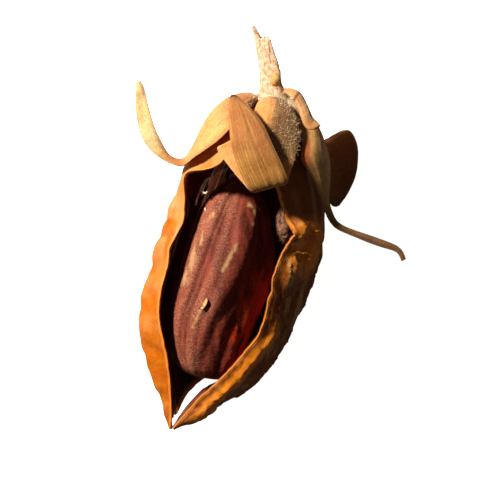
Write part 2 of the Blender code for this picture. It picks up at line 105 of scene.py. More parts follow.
# Angle at the stalk end and at the other end, half the width in degrees, and depth
SEED_GROOVES = [
    (104, 136, 9, 0.30), (28, 100, 10, 0.26), (150, 166, 11, 0.18), (8, 78, 22, 0.42),
    (200, 212, 14, 0.20), (246, 250, 12, 0.18), (292, 288, 14, 0.20), (338, 348, 12, 0.18),
]
# Narrow furrows beside and between them
FINE_GROOVES = [
    (101, 132, 2.6, 0.16), (108, 141, 2.6, 0.14), (83, 108, 5, 0.10), (128, 152, 5, 0.10), (43, 60, 6, 0.12),
    (172, 185, 5, 0.10), (8, 22, 5, 0.10),
]

OVULE_MIDDLE = np.array((1.15, 0.15, 5.6))
OVULE_RADII = np.array((0.75, 1.6, 1.1))

# The stalk from the receptacle to its torn end, the splinter there and the scale leaf: x, y, z, radius
STALK_PATH = [
    (0.10, 8.70, 6.90, 0.50), (0.12, 9.30, 6.90, 1.15), (0.14, 9.85, 6.90, 1.55),
    (0.14, 10.35, 6.90, 1.45), (0.10, 10.85, 6.90, 1.08), (0.02, 11.35, 6.95, 0.88),
    (-0.03, 12.00, 7.00, 0.82), (-0.13, 12.80, 7.00, 0.78), (-0.30, 13.60, 7.05, 0.70),
    (-0.42, 14.40, 7.10, 0.58), (-0.44, 15.20, 7.10, 0.42),
]
SPLINTER_PATH = [
    (-0.62, 12.90, 7.15, 0.24), (-0.76, 13.70, 7.20, 0.32), (-0.90, 14.50, 7.25, 0.33),
    (-1.08, 15.25, 7.25, 0.27), (-1.40, 16.05, 7.25, 0.14),
]
SCALE_LEAF_PATH = [
    (0.24, 11.36, 7.72, 0.26), (0.36, 11.68, 7.95, 0.40), (0.50, 12.05, 7.95, 0.34),
    (0.70, 12.50, 7.70, 0.12),
]

# The squarish stalk's upper face rises this much for each millimetre to the right
STALK_LEAN = 0.3

# Valve outlines. Each rail runs from the stalk's end to the tip: the edge beside the opening,
# the line where the valve bulges furthest sideways, and the edge behind.
LEFT_VALVE = {
    "front": [
        (-0.30, 9.90, 7.5), (-1.95, 8.40, 9.8), (-3.10, 6.30, 10.8), (-4.10, 4.95, 10.4),
        (-5.40, 4.55, 9.5), (-6.45, 4.40, 8.8), (-6.90, 3.85, 8.3), (-6.90, 2.80, 8.0),
        (-6.85, 1.50, 7.9), (-7.10, 0.10, 7.9), (-7.95, -1.45, 7.9), (-8.15, -2.90, 7.9),
        (-8.70, -4.90, 7.8), (-8.90, -7.05, 7.7), (-8.60, -9.05, 7.4), (-8.25, -11.05, 6.9),
        (-8.00, -13.20, 6.2), (-7.95, -14.80, 5.6), (-8.05, -16.28, 4.95),
    ],
    "side": [
        (-0.68, 9.90, 6.9), (-3.00, 8.90, 6.8), (-4.75, 7.20, 6.7), (-6.10, 5.90, 6.6),
        (-6.75, 5.20, 6.5), (-7.00, 4.65, 6.4), (-7.15, 3.90, 6.3), (-7.45, 2.90, 6.2),
        (-7.95, 1.70, 6.0), (-8.50, 0.25, 5.9), (-9.00, -1.45, 5.7), (-9.50, -3.05, 5.6),
        (-10.05, -5.05, 5.5), (-10.45, -7.30, 5.4), (-10.45, -9.10, 5.3), (-10.02, -11.10, 5.2),
        (-9.28, -13.10, 5.1), (-8.68, -14.60, 4.9), (-8.14, -16.32, 4.7),
    ],
    "back": [
        (-0.55, 9.90, 6.4), (-1.90, 8.80, 5.2), (-3.20, 7.10, 4.2), (-4.20, 5.70, 3.5),
        (-4.70, 4.95, 3.2), (-5.00, 4.35, 3.0), (-5.20, 3.70, 2.8), (-5.55, 2.70, 2.6),
        (-6.00, 1.45, 2.4), (-6.50, 0.00, 2.25), (-7.00, -1.70, 2.15), (-7.40, -3.30, 2.1),
        (-7.75, -5.20, 2.1), (-8.00, -7.30, 2.2), (-8.10, -9.10, 2.4), (-8.10, -11.10, 3.0),
        (-8.00, -13.00, 3.9), (-8.00, -14.50, 4.3), (-8.05, -16.20, 4.45),
    ],
}
RIGHT_VALVE = {
    "front": [
        (0.45, 9.90, 7.5), (0.35, 8.20, 10.3), (0.35, 6.15, 10.8), (0.35, 4.40, 10.8),
        (0.60, 2.80, 10.6), (1.00, 1.30, 10.3), (1.40, 0.20, 10.3), (1.85, -0.55, 10.4),
        (1.40, -1.30, 10.3), (0.70, -2.40, 10.1), (0.30, -3.85, 9.9), (-0.10, -5.75, 9.6),
        (-0.75, -8.10, 9.2), (-1.90, -9.85, 8.7), (-3.15, -11.30, 8.1), (-4.60, -12.70, 7.2),
        (-6.20, -14.25, 6.6), (-7.80, -16.20, 6.15),
    ],
    "side": [
        (0.88, 9.90, 6.9), (2.05, 8.55, 6.9), (3.00, 6.80, 6.8), (3.55, 5.10, 6.7),
        (3.95, 3.35, 6.5), (4.20, 1.70, 6.3), (4.28, 0.50, 6.2), (4.25, -0.65, 6.1),
        (4.12, -1.70, 6.0), (3.84, -2.95, 5.9), (3.28, -4.40, 5.8), (2.60, -6.15, 5.7),
        (1.70, -8.25, 5.6), (0.60, -10.15, 5.5), (-0.70, -12.10, 5.4), (-2.45, -13.35, 5.3),
        (-5.00, -14.70, 5.6), (-7.74, -16.32, 5.85),
    ],
    "back": [
        (0.75, 9.90, 6.4), (1.30, 8.45, 5.1), (1.70, 6.65, 4.0), (1.90, 4.95, 3.4),
        (2.00, 3.20, 3.0), (2.00, 1.60, 2.7), (1.95, 0.40, 2.5), (1.85, -0.75, 2.4),
        (1.70, -1.90, 2.3), (1.40, -3.10, 2.2), (0.95, -4.50, 2.15), (0.30, -6.20, 2.15),
        (-0.55, -8.35, 2.25), (-1.60, -10.20, 2.55), (-2.60, -12.02, 3.0), (-4.72, -13.08, 3.72),
        (-6.60, -14.45, 5.1), (-7.85, -16.20, 5.55),
    ],
}
# The back valve lies underneath, between the other two: left edge, keel and right edge
BACK_VALVE = {
    "left": [
        (-0.40, 9.90, 5.9), (-1.95, 8.60, 4.0), (-3.25, 6.95, 2.95), (-4.25, 5.55, 2.3),
        (-4.95, 4.30, 1.85), (-5.50, 2.80, 1.55), (-6.00, 1.40, 1.35), (-6.50, -0.05, 1.2),
        (-6.95, -1.75, 1.1), (-7.35, -3.50, 1.05), (-7.65, -5.30, 1.05), (-7.95, -7.20, 1.1),
        (-8.10, -9.00, 1.35), (-8.10, -10.90, 1.9), (-8.00, -12.80, 2.55), (-7.92, -14.20, 3.05),
        (-7.90, -15.20, 3.3),
    ],
    "keel": [
        (0.10, 9.90, 5.8), (0.00, 8.50, 3.5), (-0.50, 6.80, 2.2), (-0.90, 5.20, 1.5),
        (-1.30, 3.70, 1.0), (-1.60, 2.20, 0.65), (-1.95, 0.80, 0.4), (-2.30, -0.70, 0.2),
        (-2.70, -2.30, 0.05), (-3.10, -4.00, -0.1), (-3.55, -5.70, -0.15), (-4.10, -7.40, -0.1),
        (-4.80, -9.10, 0.15), (-5.60, -10.80, 0.7), (-6.50, -12.55, 1.6), (-7.20, -13.90, 2.5),
        (-7.70, -15.20, 3.1),
    ],
    "right": [
        (0.60, 9.90, 5.9), (1.40, 8.35, 3.95), (1.75, 6.60, 2.75), (1.95, 4.95, 2.2),
        (2.05, 3.30, 1.8), (2.05, 1.80, 1.5), (2.00, 0.40, 1.3), (1.85, -1.05, 1.15),
        (1.60, -2.65, 1.05), (1.15, -4.30, 1.0), (0.50, -6.00, 1.0), (-0.45, -7.80, 1.1),
        (-1.75, -9.50, 1.35), (-3.30, -11.00, 1.8), (-5.10, -12.10, 2.4), (-6.60, -13.40, 2.9),
        (-7.50, -15.10, 3.2),
    ],
}

# Sepal margins from the receptacle outwards, and how far the blade bulges between them
SEPALS = {
    "sepal_left": {
        "upper": [
            (-1.15, 10.05, 6.75), (-1.92, 10.42, 6.8), (-3.10, 10.02, 6.9), (-4.30, 9.20, 6.9),
            (-5.20, 8.05, 6.9), (-5.85, 6.90, 7.1), (-6.40, 5.95, 7.5), (-7.05, 5.45, 8.1),
            (-7.90, 5.65, 8.4), (-8.52, 6.45, 8.7), (-9.08, 7.55, 9.1), (-9.52, 8.75, 9.3),
            (-9.82, 9.95, 9.3), (-10.05, 11.00, 9.5), (-10.36, 11.62, 9.6),
        ],
        "lower": [
            (-0.85, 10.05, 7.7), (-1.45, 9.95, 8.6), (-2.35, 9.00, 9.9), (-3.00, 8.10, 10.6),
            (-3.60, 7.40, 10.9), (-4.60, 6.50, 10.7), (-5.90, 5.65, 9.8), (-6.90, 4.90, 8.9),
            (-7.80, 5.00, 8.7), (-8.85, 5.50, 8.5), (-9.80, 6.40, 8.4), (-10.40, 7.55, 8.5),
            (-10.68, 8.95, 8.7), (-10.74, 10.30, 9.0), (-10.74, 11.42, 9.4),
        ],
        "bulge": [0.1, 0.4, 0.8, 0.9, 0.8, 0.5, 0.2, 0.0, -0.1, -0.1, -0.1, -0.1, -0.1, 0.0, 0.0],
    },
    "sepal_right": {
        "upper": [
            (1.35, 10.05, 6.75), (2.10, 9.80, 7.0), (3.20, 8.50, 7.8), (4.05, 7.10, 8.3),
            (4.50, 6.00, 8.5), (4.72, 4.80, 8.5), (4.68, 3.45, 8.3), (4.65, 2.25, 8.2),
            (4.92, 1.22, 8.1), (5.40, 0.40, 8.2), (6.45, -0.16, 8.2), (7.90, -0.65, 8.1),
            (9.30, -1.15, 8.0), (10.35, -1.70, 7.9), (10.80, -2.55, 7.8),
        ],
        "lower": [
            (1.10, 10.05, 7.7), (1.65, 9.50, 8.7), (2.30, 8.00, 9.6), (2.50, 6.40, 10.2),
            (2.40, 5.30, 10.4), (3.00, 4.40, 10.0), (3.65, 3.10, 9.2), (4.10, 2.05, 8.6),
            (4.40, 1.05, 8.3), (5.05, 0.00, 8.2), (6.20, -0.60, 8.2), (7.65, -1.20, 8.1),
            (9.10, -1.70, 8.0), (10.05, -2.05, 7.9), (10.45, -2.75, 7.8),
        ],
        "bulge": [-0.1, -0.3, -0.6, -0.7, -0.6, -0.4, -0.2, 0, 0, 0, 0, 0, 0, 0, 0],
    },
    "sepal_back_right": {
        "upper": [
            (1.30, 10.05, 6.3), (2.10, 9.40, 5.9), (3.05, 8.25, 5.5), (4.05, 7.00, 5.7),
            (5.00, 6.90, 5.9), (6.10, 7.75, 5.6), (6.90, 6.90, 4.8), (7.08, 5.40, 3.8),
            (6.84, 3.90, 2.8), (6.30, 2.70, 1.5), (5.80, 2.05, 0.25),
        ],
        "lower": [
            (0.70, 10.05, 5.6), (1.20, 9.60, 4.3), (1.95, 8.20, 3.4), (2.60, 6.70, 3.0),
            (3.10, 5.40, 2.8), (3.55, 4.30, 2.6), (3.95, 3.40, 2.4), (4.35, 2.70, 2.0),
            (4.75, 2.10, 1.4), (5.10, 1.75, 0.75), (5.45, 1.70, 0.15),
        ],
        "bulge": [0.0, 0.3, 0.5, 0.6, 0.7, 0.7, 0.6, 0.5, 0.3, 0.1, 0.0],
    },
    "sepal_back_left": {
        "upper": [
            (0.30, 10.05, 5.6), (-0.10, 9.50, 3.9), (-0.90, 8.10, 2.2), (-1.90, 6.70, 1.3),
            (-3.10, 5.50, 0.8), (-4.30, 4.80, 0.45), (-5.30, 4.60, 0.33), (-5.90, 4.75, 0.28),
        ],
        "lower": [
            (-0.85, 10.05, 6.1), (-1.80, 9.90, 5.1), (-3.20, 9.00, 3.9), (-4.30, 7.80, 3.0),
            (-5.10, 6.60, 2.2), (-5.75, 5.75, 1.35), (-6.10, 5.30, 0.75), (-6.35, 5.20, 0.28),
        ],
        "bulge": [0.0, 0.3, 0.5, 0.5, 0.4, 0.3, 0.1, 0.0],
    },
    "sepal_short": {
        "upper": [
            (1.30, 10.85, 8.1), (2.15, 10.75, 8.6), (2.72, 9.78, 9.2), (3.12, 8.85, 9.9),
            (3.60, 8.35, 10.4), (3.95, 8.00, 10.8),
        ],
        "lower": [
            (1.00, 10.75, 8.9), (1.75, 10.15, 9.9), (2.20, 9.20, 10.5), (2.45, 8.40, 10.9),
            (2.80, 7.80, 11.1), (3.35, 7.65, 11.1),
        ],
        "bulge": [-0.1, -0.2, -0.3, -0.3, -0.1, 0.0],
    },
    "sepal_front": {
        "upper": [
            (-0.45, 10.05, 8.2), (-1.00, 9.85, 9.6), (-1.60, 8.60, 10.9), (-3.10, 6.90, 11.35),
            (-4.20, 6.30, 11.2), (-3.85, 5.50, 11.3), (-2.90, 4.25, 11.45), (-1.95, 3.15, 11.6),
            (-1.60, 2.75, 12.0), (-2.00, 3.35, 12.4), (-2.60, 4.70, 12.45), (-3.10, 6.40, 12.4),
            (-3.30, 8.15, 12.2), (-3.30, 9.50, 11.9), (-3.15, 10.40, 11.6),
        ],
        "lower": [
            (0.65, 10.05, 8.2), (1.25, 9.90, 9.6), (1.80, 8.95, 10.4), (2.20, 7.75, 10.7),
            (2.20, 6.70, 10.9), (2.00, 5.80, 11.1), (1.70, 4.80, 11.3), (1.40, 3.85, 11.55),
            (1.32, 3.50, 12.0), (1.25, 3.90, 12.4), (0.75, 5.10, 12.5), (0.10, 6.50, 12.5),
            (-0.75, 8.25, 12.35), (-1.95, 9.70, 12.0), (-2.80, 10.40, 11.65),
        ],
        "bulge": [0.1, 0.3, 0.5, 0.5, 0.4, 0.3, 0.2, 0.1, 0.0, -0.1, -0.2, -0.2, -0.2, -0.1, 0.0],
    },
}

# The back valve's edges reach this share of its width further under the side valves
TUCKED_UNDER = 0.05

# The crumpled patch of the right valve
CRUMPLED_AT = (3.0, -1.5, 8.4)

# Bulges beside the right valve's split edge, which stand up into the light: place, reach, height
SHOULDERS = [
    ((2.35, -0.1, 9.8), (1.5, 1.2, 2.5), 0.62),
    ((1.7, -3.7, 9.0), (1.2, 2.0, 2.5), 0.45),
]

# Marks on the seed's front, as x, y places: scraps of membrane with their width, the notch in the
# skin, and the foot and tip of the scrap beside it
TAN_SCRAPS = [
    ([(-2.12, 1.92), (-0.68, 1.36)], 0.28),
    ([(-1.16, 1.60), (-1.32, 0.24)], 0.35),
    ([(-2.60, -1.20), (-3.00, -2.08), (-3.80, -3.44)], 0.30),
    ([(-4.52, 0.96), (-5.08, 0.08), (-5.96, -1.84), (-6.60, -3.44), (-6.90, -4.40)], 0.60),
    ([(-5.56, -6.72), (-6.20, -8.00)], 0.22),
]
NOTCH = [(-5.00, -5.85), (-4.74, -6.40), (-5.32, -6.42)]
FLAKE_FOOT = [(-5.56, -6.38), (-5.36, -6.03), (-5.10, -5.50)]
FLAKE_TIP = [(-5.38, -6.44), (-5.10, -6.08), (-4.98, -5.68)]

# Loose fibres of the wall between the chambers
SEPTUM_STRANDS = [
    [
        (-4.10, 4.40, 7.2), (-4.70, 4.05, 7.2), (-5.24, 3.70, 7.0), (-5.60, 3.00, 6.9),
        (-5.85, 2.40, 6.8), (-6.05, 1.75, 6.6),
    ],
    [(-5.00, 3.85, 7.1), (-5.35, 3.20, 6.9), (-5.50, 2.60, 6.7)],
    [(-5.20, 1.55, 6.9), (-5.10, 1.10, 6.9), (-5.00, 0.85, 7.0)],
    [(-5.55, 2.90, 6.9), (-5.25, 2.70, 7.1), (-5.05, 2.85, 7.2)],
]

# Relief in layers: height, size of its features (one number, or one for x, y and z) and seed, and
# for nets of creases also their sharpness. All are in millimetres.
LEFT_BUMPS = [(0.19, 1.7, 3), (0.08, 0.8, 4), (0.012, 0.3, 7)]
LEFT_NET = [(0.03, (0.9, 2.0, 0.9), 5, 0.25)]
RIGHT_BUMPS = [(0.07, 1.4, 16), (0.012, 0.3, 17)]
RIGHT_NET = [(0.13, (0.8, 2.0, 0.8), 14, 0.22), (0.06, (0.4, 1.0, 0.4), 15, 0.22)]
CRUMPLE_NET = [(0.48, 0.8, 12, 0.2)]
BACK_BUMPS = [(0.06, 1.5, 26), (0.012, 0.3, 27)]
BACK_NET = [(0.10, (1.0, 2.0, 1.0), 24, 0.14)]
SEED_BUMPS = [(0.05, 1.7, 50), (0.05, (0.5, 2.6, 0.5), 51)]
OVULE_BUMPS = [(0.07, 0.8, 60), (0.03, 0.2, 63)]
OVULE_CRACKS = [(1.0, 0.55, 61, 0.12)]

# The right valve's lengthwise folds: how many, how high, how far they wander, and the stretches
# along and across the valve that have them, each with its soft border
FOLDS, FOLD_HEIGHT, FOLD_WANDER = 5, 0.17, 1.5
FOLDED_ALONG = (0.06, 0.42, 0.1)
FOLDED_ACROSS = (0.15, 0.8, 0.15)
# Where its net of wrinkles sets in along the valve, and the reach of its crumpled patch
NET_FROM = (0.40, 0.58)
CRUMPLE_REACH = (2.4, 2.6, 3.0)
CRUMPLE_TINT_REACH = (2.6, 3.2, 3.0)
# The raised band beside its split edge: height, where it sets in along the valve, and how far from
# the edge it reaches that height, starts to sink and ends
BAND_HEIGHT = 0.42
BAND_ALONG = (0.62, 0.78)
BAND_RISE, BAND_SINKS, BAND_ENDS = 0.9, 1.1, 2.1

# Share of the relief that is left at a valve's split edges, and the share of its length over which
# it starts at the ends
EDGE_RELIEF = 0.35
END_FADE = 0.04
# Share of the outside's relief that the inside follows
INSIDE_RELIEF = 0.8
# Distances from a valve's edge over which its wall gets its full thickness, if the valve is wider
# than the second on each side, and over which its flesh shows
FULL_WALL = 1.3
NARROW_WIDTH = 1.2
FLESH_WIDTH = 0.35
# How far the valves' torn edges wander, as a share of their width
TORN_DEPTH = 0.007
# The back valve lies flat up to this height
FLAT_BELOW = 0.5

# Size of the grains on the seed's skin
GRAIN_SIZE = 0.16
# Marks of the seed: depth of the notch, height of the membrane's scraps and of the upright scrap
NOTCH_DEPTH = 0.09
SCRAP_HEIGHT = 0.05
FLAKE_RISE = 0.18
FLAKE_THICKNESS = 0.05
# Share of the seed's and of the ovule's length that is closed flat at each end
SEED_END = 0.006
OVULE_END = 0.02
CRACK_DEPTH = 0.10

# The squarish part of the stalk: between which heights it starts, and how square it is
SQUARE_FROM = (10.4, 11.6)
SQUARENESS = 6
# How far its torn end is ragged, and how much lower its right side ends
TORN_END = 0.16
TORN_SLANT = 0.5

# The loose lining: the stretch along the left valve, and how far it reaches in from the edge
LINING_FROM, LINING_LENGTH = 0.40, 0.57
LINING_IN, LINING_WIDTH = 0.015, 0.10
LINING_LIFT, LINING_ARCH = 0.42, 0.30
LINING_THICKNESS = 0.05

# Fibres of the wall between the chambers, in millimetres, and the sizes of hairs against the set one
STRAND_THICKNESS = 0.16
STRAND_SIDES = 6
HAIR_SIZES = (0.4, 1.3)

# Mottling in layers: size of the blotches in millimetres, and tints of the dark and the light ones
HUSK_MOTTLE = [(1.5, (0.84, 0.68, 0.5), (1.05, 1.08, 1.1)), (0.22, (0.88, 0.84, 0.78), (1.06, 1.06, 1.08))]
LINING_MOTTLE = [(1.1, (0.45, 0.38, 0.34), (1.2, 1.15, 1.05))]
SEPAL_MOTTLE = [(1.2, (0.86, 0.74, 0.62), (1.08, 1.08, 1.06)), (0.18, (0.84, 0.74, 0.64), (1.08, 1.08, 1.10))]
SKIN_SHINE = 0.22
LINING_FIBRE_COLOUR = (0.30, 0.17, 0.08)

# Plain dry finishes: tints of their dark and light flecks, size of these, roughness, share of dark
# fibres, and depth of the grain in millimetres
DRY_FINISHES = {
    "loose_lining": ((0.35, 0.32, 0.30), (1.5, 1.4, 1.25), 0.5, 0.7, 0.5, 0.03),
    "skin_scrap": ((0.6, 0.5, 0.4), (1.15, 1.1, 1.0), 0.3, 0.7, 0.0, 0.03),
    "ovule_crust": ((0.30, 0.26, 0.24), (1.6, 1.5, 1.45), 0.3, 0.85, 0.0, 0.06),
    "septum_fibre": ((0.6, 0.5, 0.45), (1.3, 1.3, 1.25), 0.4, 0.75, 0.0, 0.03),
    "sepal_hair": ((0.6, 0.5, 0.4), (1.2, 1.2, 1.15), 0.5, 0.7, 0.0, 0.03),
    "stalk_bark": ((0.62, 0.46, 0.38), (1.06, 1.05, 1.04), 0.35, 0.85, 0.55, 0.05),
    "scale_leaf_skin": ((0.7, 0.55, 0.4), (1.05, 1.05, 1.0), 0.3, 0.8, 0.3, 0.03),
    "stalk_hair": ((0.8, 0.7, 0.6), (1.1, 1.1, 1.1), 0.5, 0.7, 0.0, 0.03),
}

# Each sepal's slot and material; its colours by name at shares of its length from root to tip; the
# colour and amount of its streaks; and its layers: attribute, colour, amount, grain and softness
SEPAL_FINISHES = {
    "sepal_left": (
        "sepal_gold", "sepal_gold_felt",
        [(0.0, "pink"), (0.12, "rust"), (0.26, "gold"), (0.46, "gold"), (0.53, "rust"), (0.60, "gold"),
         (0.72, "cream"), (1.0, "cream")],
        "cream", 0.30, [("edge", "brown", 0.35, 0.3, 0.2)],
    ),
    "sepal_front": (
        "sepal_gold", "sepal_folded_felt",
        [(0.0, "grey"), (0.10, "gold"), (0.50, "gold"), (0.56, "gold"), (0.60, "fold"), (0.70, "flap"),
         (0.82, "brown"), (0.92, "brown"), (1.0, "dark")],
        "straw", 0.6, [("felt", "felted", 0.85, 0.5, 0.35), ("tip", "burnt", 0.9, 0.2, 0.2)],
    ),
    "sepal_right": (
        "sepal_olive", "sepal_olive_felt",
        [(0.0, "grey"), (0.10, "grey"), (0.18, "light_olive"), (0.42, "warm_olive"), (0.62, "olive"),
         (0.76, "dark"), (1.0, "dark")],
        # The patch at the right sepal's margin is orange-brown partly of its own and partly as painted light.
        "grey", 0.50, [("patch", "rust_patch_and_painted_light", 0.9, 0.35, 0.3)],
    ),
    "sepal_short": (
        "sepal_pink", "sepal_pink_felt",
        [(0.0, "pink"), (0.2, "gold"), (0.28, "pink"), (0.75, "pink"), (0.9, "gold"), (1.0, "brown")],
        "grey", 0.30, [("lip", "lip_shade", 0.8, 0.3, 0.3), ("streak", "grey_streak", 0.7, 0.3, 0.3)],
    ),
    "sepal_back_right": (
        "sepal_brown", "sepal_rust_felt",
        # The back right sepal's upper stretch is painted in a bright rust that stands in for sunlight.
        [(0.0, "grey"), (0.2, "painted_sunlight_rust"), (0.48, "painted_sunlight_rust"), (0.6, "rust"), (1.0, "dark")],
        "rust", 0.40, [],
    ),
    "sepal_back_left": (
        "sepal_brown", "sepal_hidden_felt",
        [(0.0, "grey"), (0.25, "rust"), (0.8, "gold"), (1.0, "brown")], "grey", 0.35, [],
    ),
}

# The stage: distances in metres, the picture's width at the fruit and its middle there
FLOOR_RADIUS = 0.6
FLOOR_BOUNCE = (0.22, 0.21, 0.20)
FLOOR_GLOW = 1.03
KEY_TINT = (1.0, 0.97, 0.93)
KEY_DISTANCE = 0.35
AIM_HEIGHT = 0.007
CAMERA_DISTANCE = 0.32
SENSOR_WIDTH = 36.0
FRAME_WIDTH = 0.0384
FRAME_MIDDLE = (-0.00244 + CENTRING[0] * MM, -0.00104 + CENTRING[1] * MM)


def srgb(red, green, blue):
    """A colour as it is seen on a screen, 0 to 255, in the linear values that shaders take."""
    shares = np.array((red, green, blue)) / 255
    return tuple(np.where(shares <= 0.04045, shares / 12.92, ((shares + 0.055) / 1.055) ** 2.4))


def spline(stations):
    """A function of shares 0..1 that follows a natural cubic spline through the stations."""
    points = np.asarray(stations, float)
    last = len(points) - 1
    flat = points.reshape(last + 1, -1)
    system = np.eye(last + 1)
    bend = np.zeros_like(flat)
    for i in range(1, last):
        system[i, i - 1 : i + 2] = 1, 4, 1
        bend[i] = 6 * (flat[i + 1] - 2 * flat[i] + flat[i - 1])
    curl = np.linalg.solve(system, bend)

    def at(share):
        share = np.asarray(share, float)
        place = np.clip(share, 0, 1) * last
        i = np.minimum(place.astype(int), last - 1)
        b = (place - i)[..., None]
        a = 1 - b
        curved = ((a**3 - a) * curl[i] + (b**3 - b) * curl[i + 1]) / 6
        return (a * flat[i] + b * flat[i + 1] + curved).reshape(share.shape + points.shape[1:])

    return at


def grid(rows, columns):
    """Shares along and across a surface, as two arrays of rows by columns."""
    return np.meshgrid(np.linspace(0, 1, rows), np.linspace(0, 1, columns), indexing="ij")


def ring_grid(rows, columns):
    """Shares along a round piece and angles about it, with no column twice."""
    along, around = grid(rows, columns + 1)
    return along[:, :-1], math.tau * around[:, :-1]


def numbered(rows, columns):
    """The numbers of a grid's points."""
    return np.arange(rows * columns).reshape(rows, columns)


def unit(vectors):
    return vectors / np.maximum(np.linalg.norm(vectors, axis=-1, keepdims=True), 1e-9)


def smooth(low, high, values):
    """0 up to low, 1 from high on, and a soft step between."""
    share = np.clip((values - low) / (high - low), 0, 1)
    return share * share * (3 - 2 * share)


def stretch(values, low, high, soft):
    """1 between low and high, fading to 0 over a distance of soft outside them."""
    return smooth(low - soft, low, values) * smooth(-high - soft, -high, -values)


def spot(points, centre, radii):
    """1 in the middle of an egg-shaped region, fading to 0 at its edge."""
    reach = np.linalg.norm((points - np.array(centre)) / np.array(radii), axis=-1)
    return smooth(0, 1, 1 - reach)


def noise(points, size, seed):
    """Smooth noise from -1 to 1, with features of about this size in millimetres."""
    side = 32
    lattice = np.random.default_rng(seed).uniform(-1, 1, (side, side, side))
    place = points / np.array(size)
    cell = np.floor(place).astype(int)
    part = place - cell
    part = part * part * (3 - 2 * part)
    total = np.zeros(points.shape[:-1])
    for corner in itertools.product((0, 1), repeat=3):
        weight = np.prod(np.where(corner, part, 1 - part), axis=-1)
        x, y, z = np.moveaxis((cell + corner) % side, -1, 0)
        total += weight * lattice[x, y, z]
    return total


def layered(points, size, seed, layers=3):
    """Noise with finer noise on it, each layer half the size and half the height of the last."""
    return sum(noise(points, np.array(size) / 2**n, seed + n) / 2**n for n in range(layers))


def creases(points, size, seed, sharpness=0.14):
    """A net of narrow ridges from 0 to 1, with meshes of about this size in millimetres."""
    wave = noise(points, size, seed) + 0.35 * noise(points, np.array(size) / 2.3, seed + 1)
    return np.exp(-((wave / sharpness) ** 2))


def bumps(points, layers):
    """Layers of noise added up, in millimetres."""
    return sum(height * noise(points, size, seed) for height, size, seed in layers)


def nets(points, layers):
    """Nets of creases added up, in millimetres."""
    return sum(height * creases(points, *shape) for height, *shape in layers)


def husk_axis(y):
    """Middle of the husk at each height y, which tells its outside from its inside."""
    share = (STEM_END[1] - y) / (STEM_END[1] - TIP[1])
    return STEM_END + (TIP - STEM_END) * share[..., None]


def normals(points):
    return unit(np.cross(np.gradient(points, axis=0), np.gradient(points, axis=1)))


def outward(points):
    """A husk surface's normals, turned so that they point away from the husk's middle."""
    found = normals(points)
    away = ((points - husk_axis(points[..., 1])) * found).sum(-1)
    return found * np.sign(away.sum())


def side_valve(rails, along, across):
    """Surface of a side valve: each section bends from its front edge round its side to its back."""
    front, side, back = (spline(rails[name])(along) for name in ("front", "side", "back"))
    edge = np.where(across[..., None] < 0.5, front, back)
    share = abs(2 * across - 1)[..., None]
    corner = side.copy()
    corner[..., 2] += SECTION_FULLNESS * (edge[..., 2] - side[..., 2])
    return (1 - share) ** 2 * side + 2 * share * (1 - share) * corner + share**2 * edge


def back_valve(rails, along, across):
    """Surface of the back valve: each section is an arc through its two edges and its keel."""
    left, keel, right = (spline(rails[name])(along) for name in ("left", "keel", "right"))
    from_right = across[..., None]
    from_left = 1 - from_right
    return (
        from_left * (from_left - from_right) * left
        + 4 * from_left * from_right * keel
        + from_right * (from_right - from_left) * right
    )


VALVES = {
    "valve_left": (side_valve, LEFT_VALVE, 0.4, RIB_HEIGHT),
    "valve_right": (side_valve, RIGHT_VALVE, 2.1, RIB_HEIGHT),
    "valve_back": (back_valve, BACK_VALVE, 1.2, BACK_RIB_HEIGHT),
}


def ribs(along, across, shift):
    """The husk's low lengthwise ribs and the puckers across its lower half, from -1 to 1."""
    ends = np.sin(math.pi * along) ** 0.5 * np.sin(math.pi * across) ** 0.7
    wander = shift + RIB_WANDER * np.sin(RIB_BENDS * along)
    below = np.maximum(0, along - PUCKERS_FROM) / (1 - PUCKERS_FROM)
    puckers = np.sin(math.tau * (PUCKERS * along + PUCKER_SLANT * across) + shift)
    puckers = puckers * np.sin(math.pi * below)
    return ends * (0.6 * np.cos(math.tau * RIBS_PER_VALVE * across + wander) + 0.4 * puckers)


def valve_surface(name, along, across):
    """The outside of one valve, as its solid has it."""
    shape, rails, shift, height = VALVES[name]
    bare = shape(rails, along, across)
    return bare + outward(bare) * (height * ribs(along, np.clip(across, 0, 1), shift))[..., None]


def sepal_blade(margins, along, across):
    """Surface of a sepal: between its margins, and raised along its normal by the bulge."""
    step = 0.01
    upper, lower = spline(margins["upper"]), spline(margins["lower"])
    bulge = spline(np.array(margins["bulge"], float)[:, None])(along)
    middle = (upper(along) + lower(along)) / 2
    half = (lower(along) - upper(along)) / 2
    before, after = np.maximum(along - step, 0), np.minimum(along + step, 1)
    run = upper(after) + lower(after) - upper(before) - lower(before)
    share = (2 * across - 1)[..., None]
    return middle + share * half - bulge * (1 - share**2) * unit(np.cross(half, run))


def quads_of(index):
    """The faces of a grid of point numbers."""
    corners = (index[:-1, :-1], index[1:, :-1], index[1:, 1:], index[:-1, 1:])
    return np.stack(corners, -1).reshape(-1, 4)


def husk_sheets():
    """The three valves' outsides as plain sheets that a sepal can be laid on."""
    faces = quads_of(numbered(*SHEET_GRID)).tolist()
    surfaces = [valve_surface(name, *grid(*SHEET_GRID)) for name in VALVES]
    return [BVHTree.FromPolygons(points.reshape(-1, 3).tolist(), faces) for points in surfaces]


def laid_on(points, sheets, clearance):
    """A sepal's points, with each one that would sink into the husk lifted off it."""
    laid = points.reshape(-1, 3).copy()
    for n, start in enumerate(laid):
        here = Vector(start)
        for sheet in sheets * LIFT_ROUNDS:
            nearest, normal, _, distance = sheet.find_nearest(here)
            if normal.dot(nearest - Vector(husk_axis(np.array(nearest.y)))) < 0:
                normal = -normal
            height = (here - nearest).dot(normal)
            facing = abs(height) > FACING_SHARE * distance
            if facing and height < clearance and distance < HUSK_REACH:
                here = nearest + normal * clearance
            elif distance < clearance:
                here = nearest + (here - nearest).normalized() * clearance
        laid[n] = here
    return laid.reshape(points.shape)


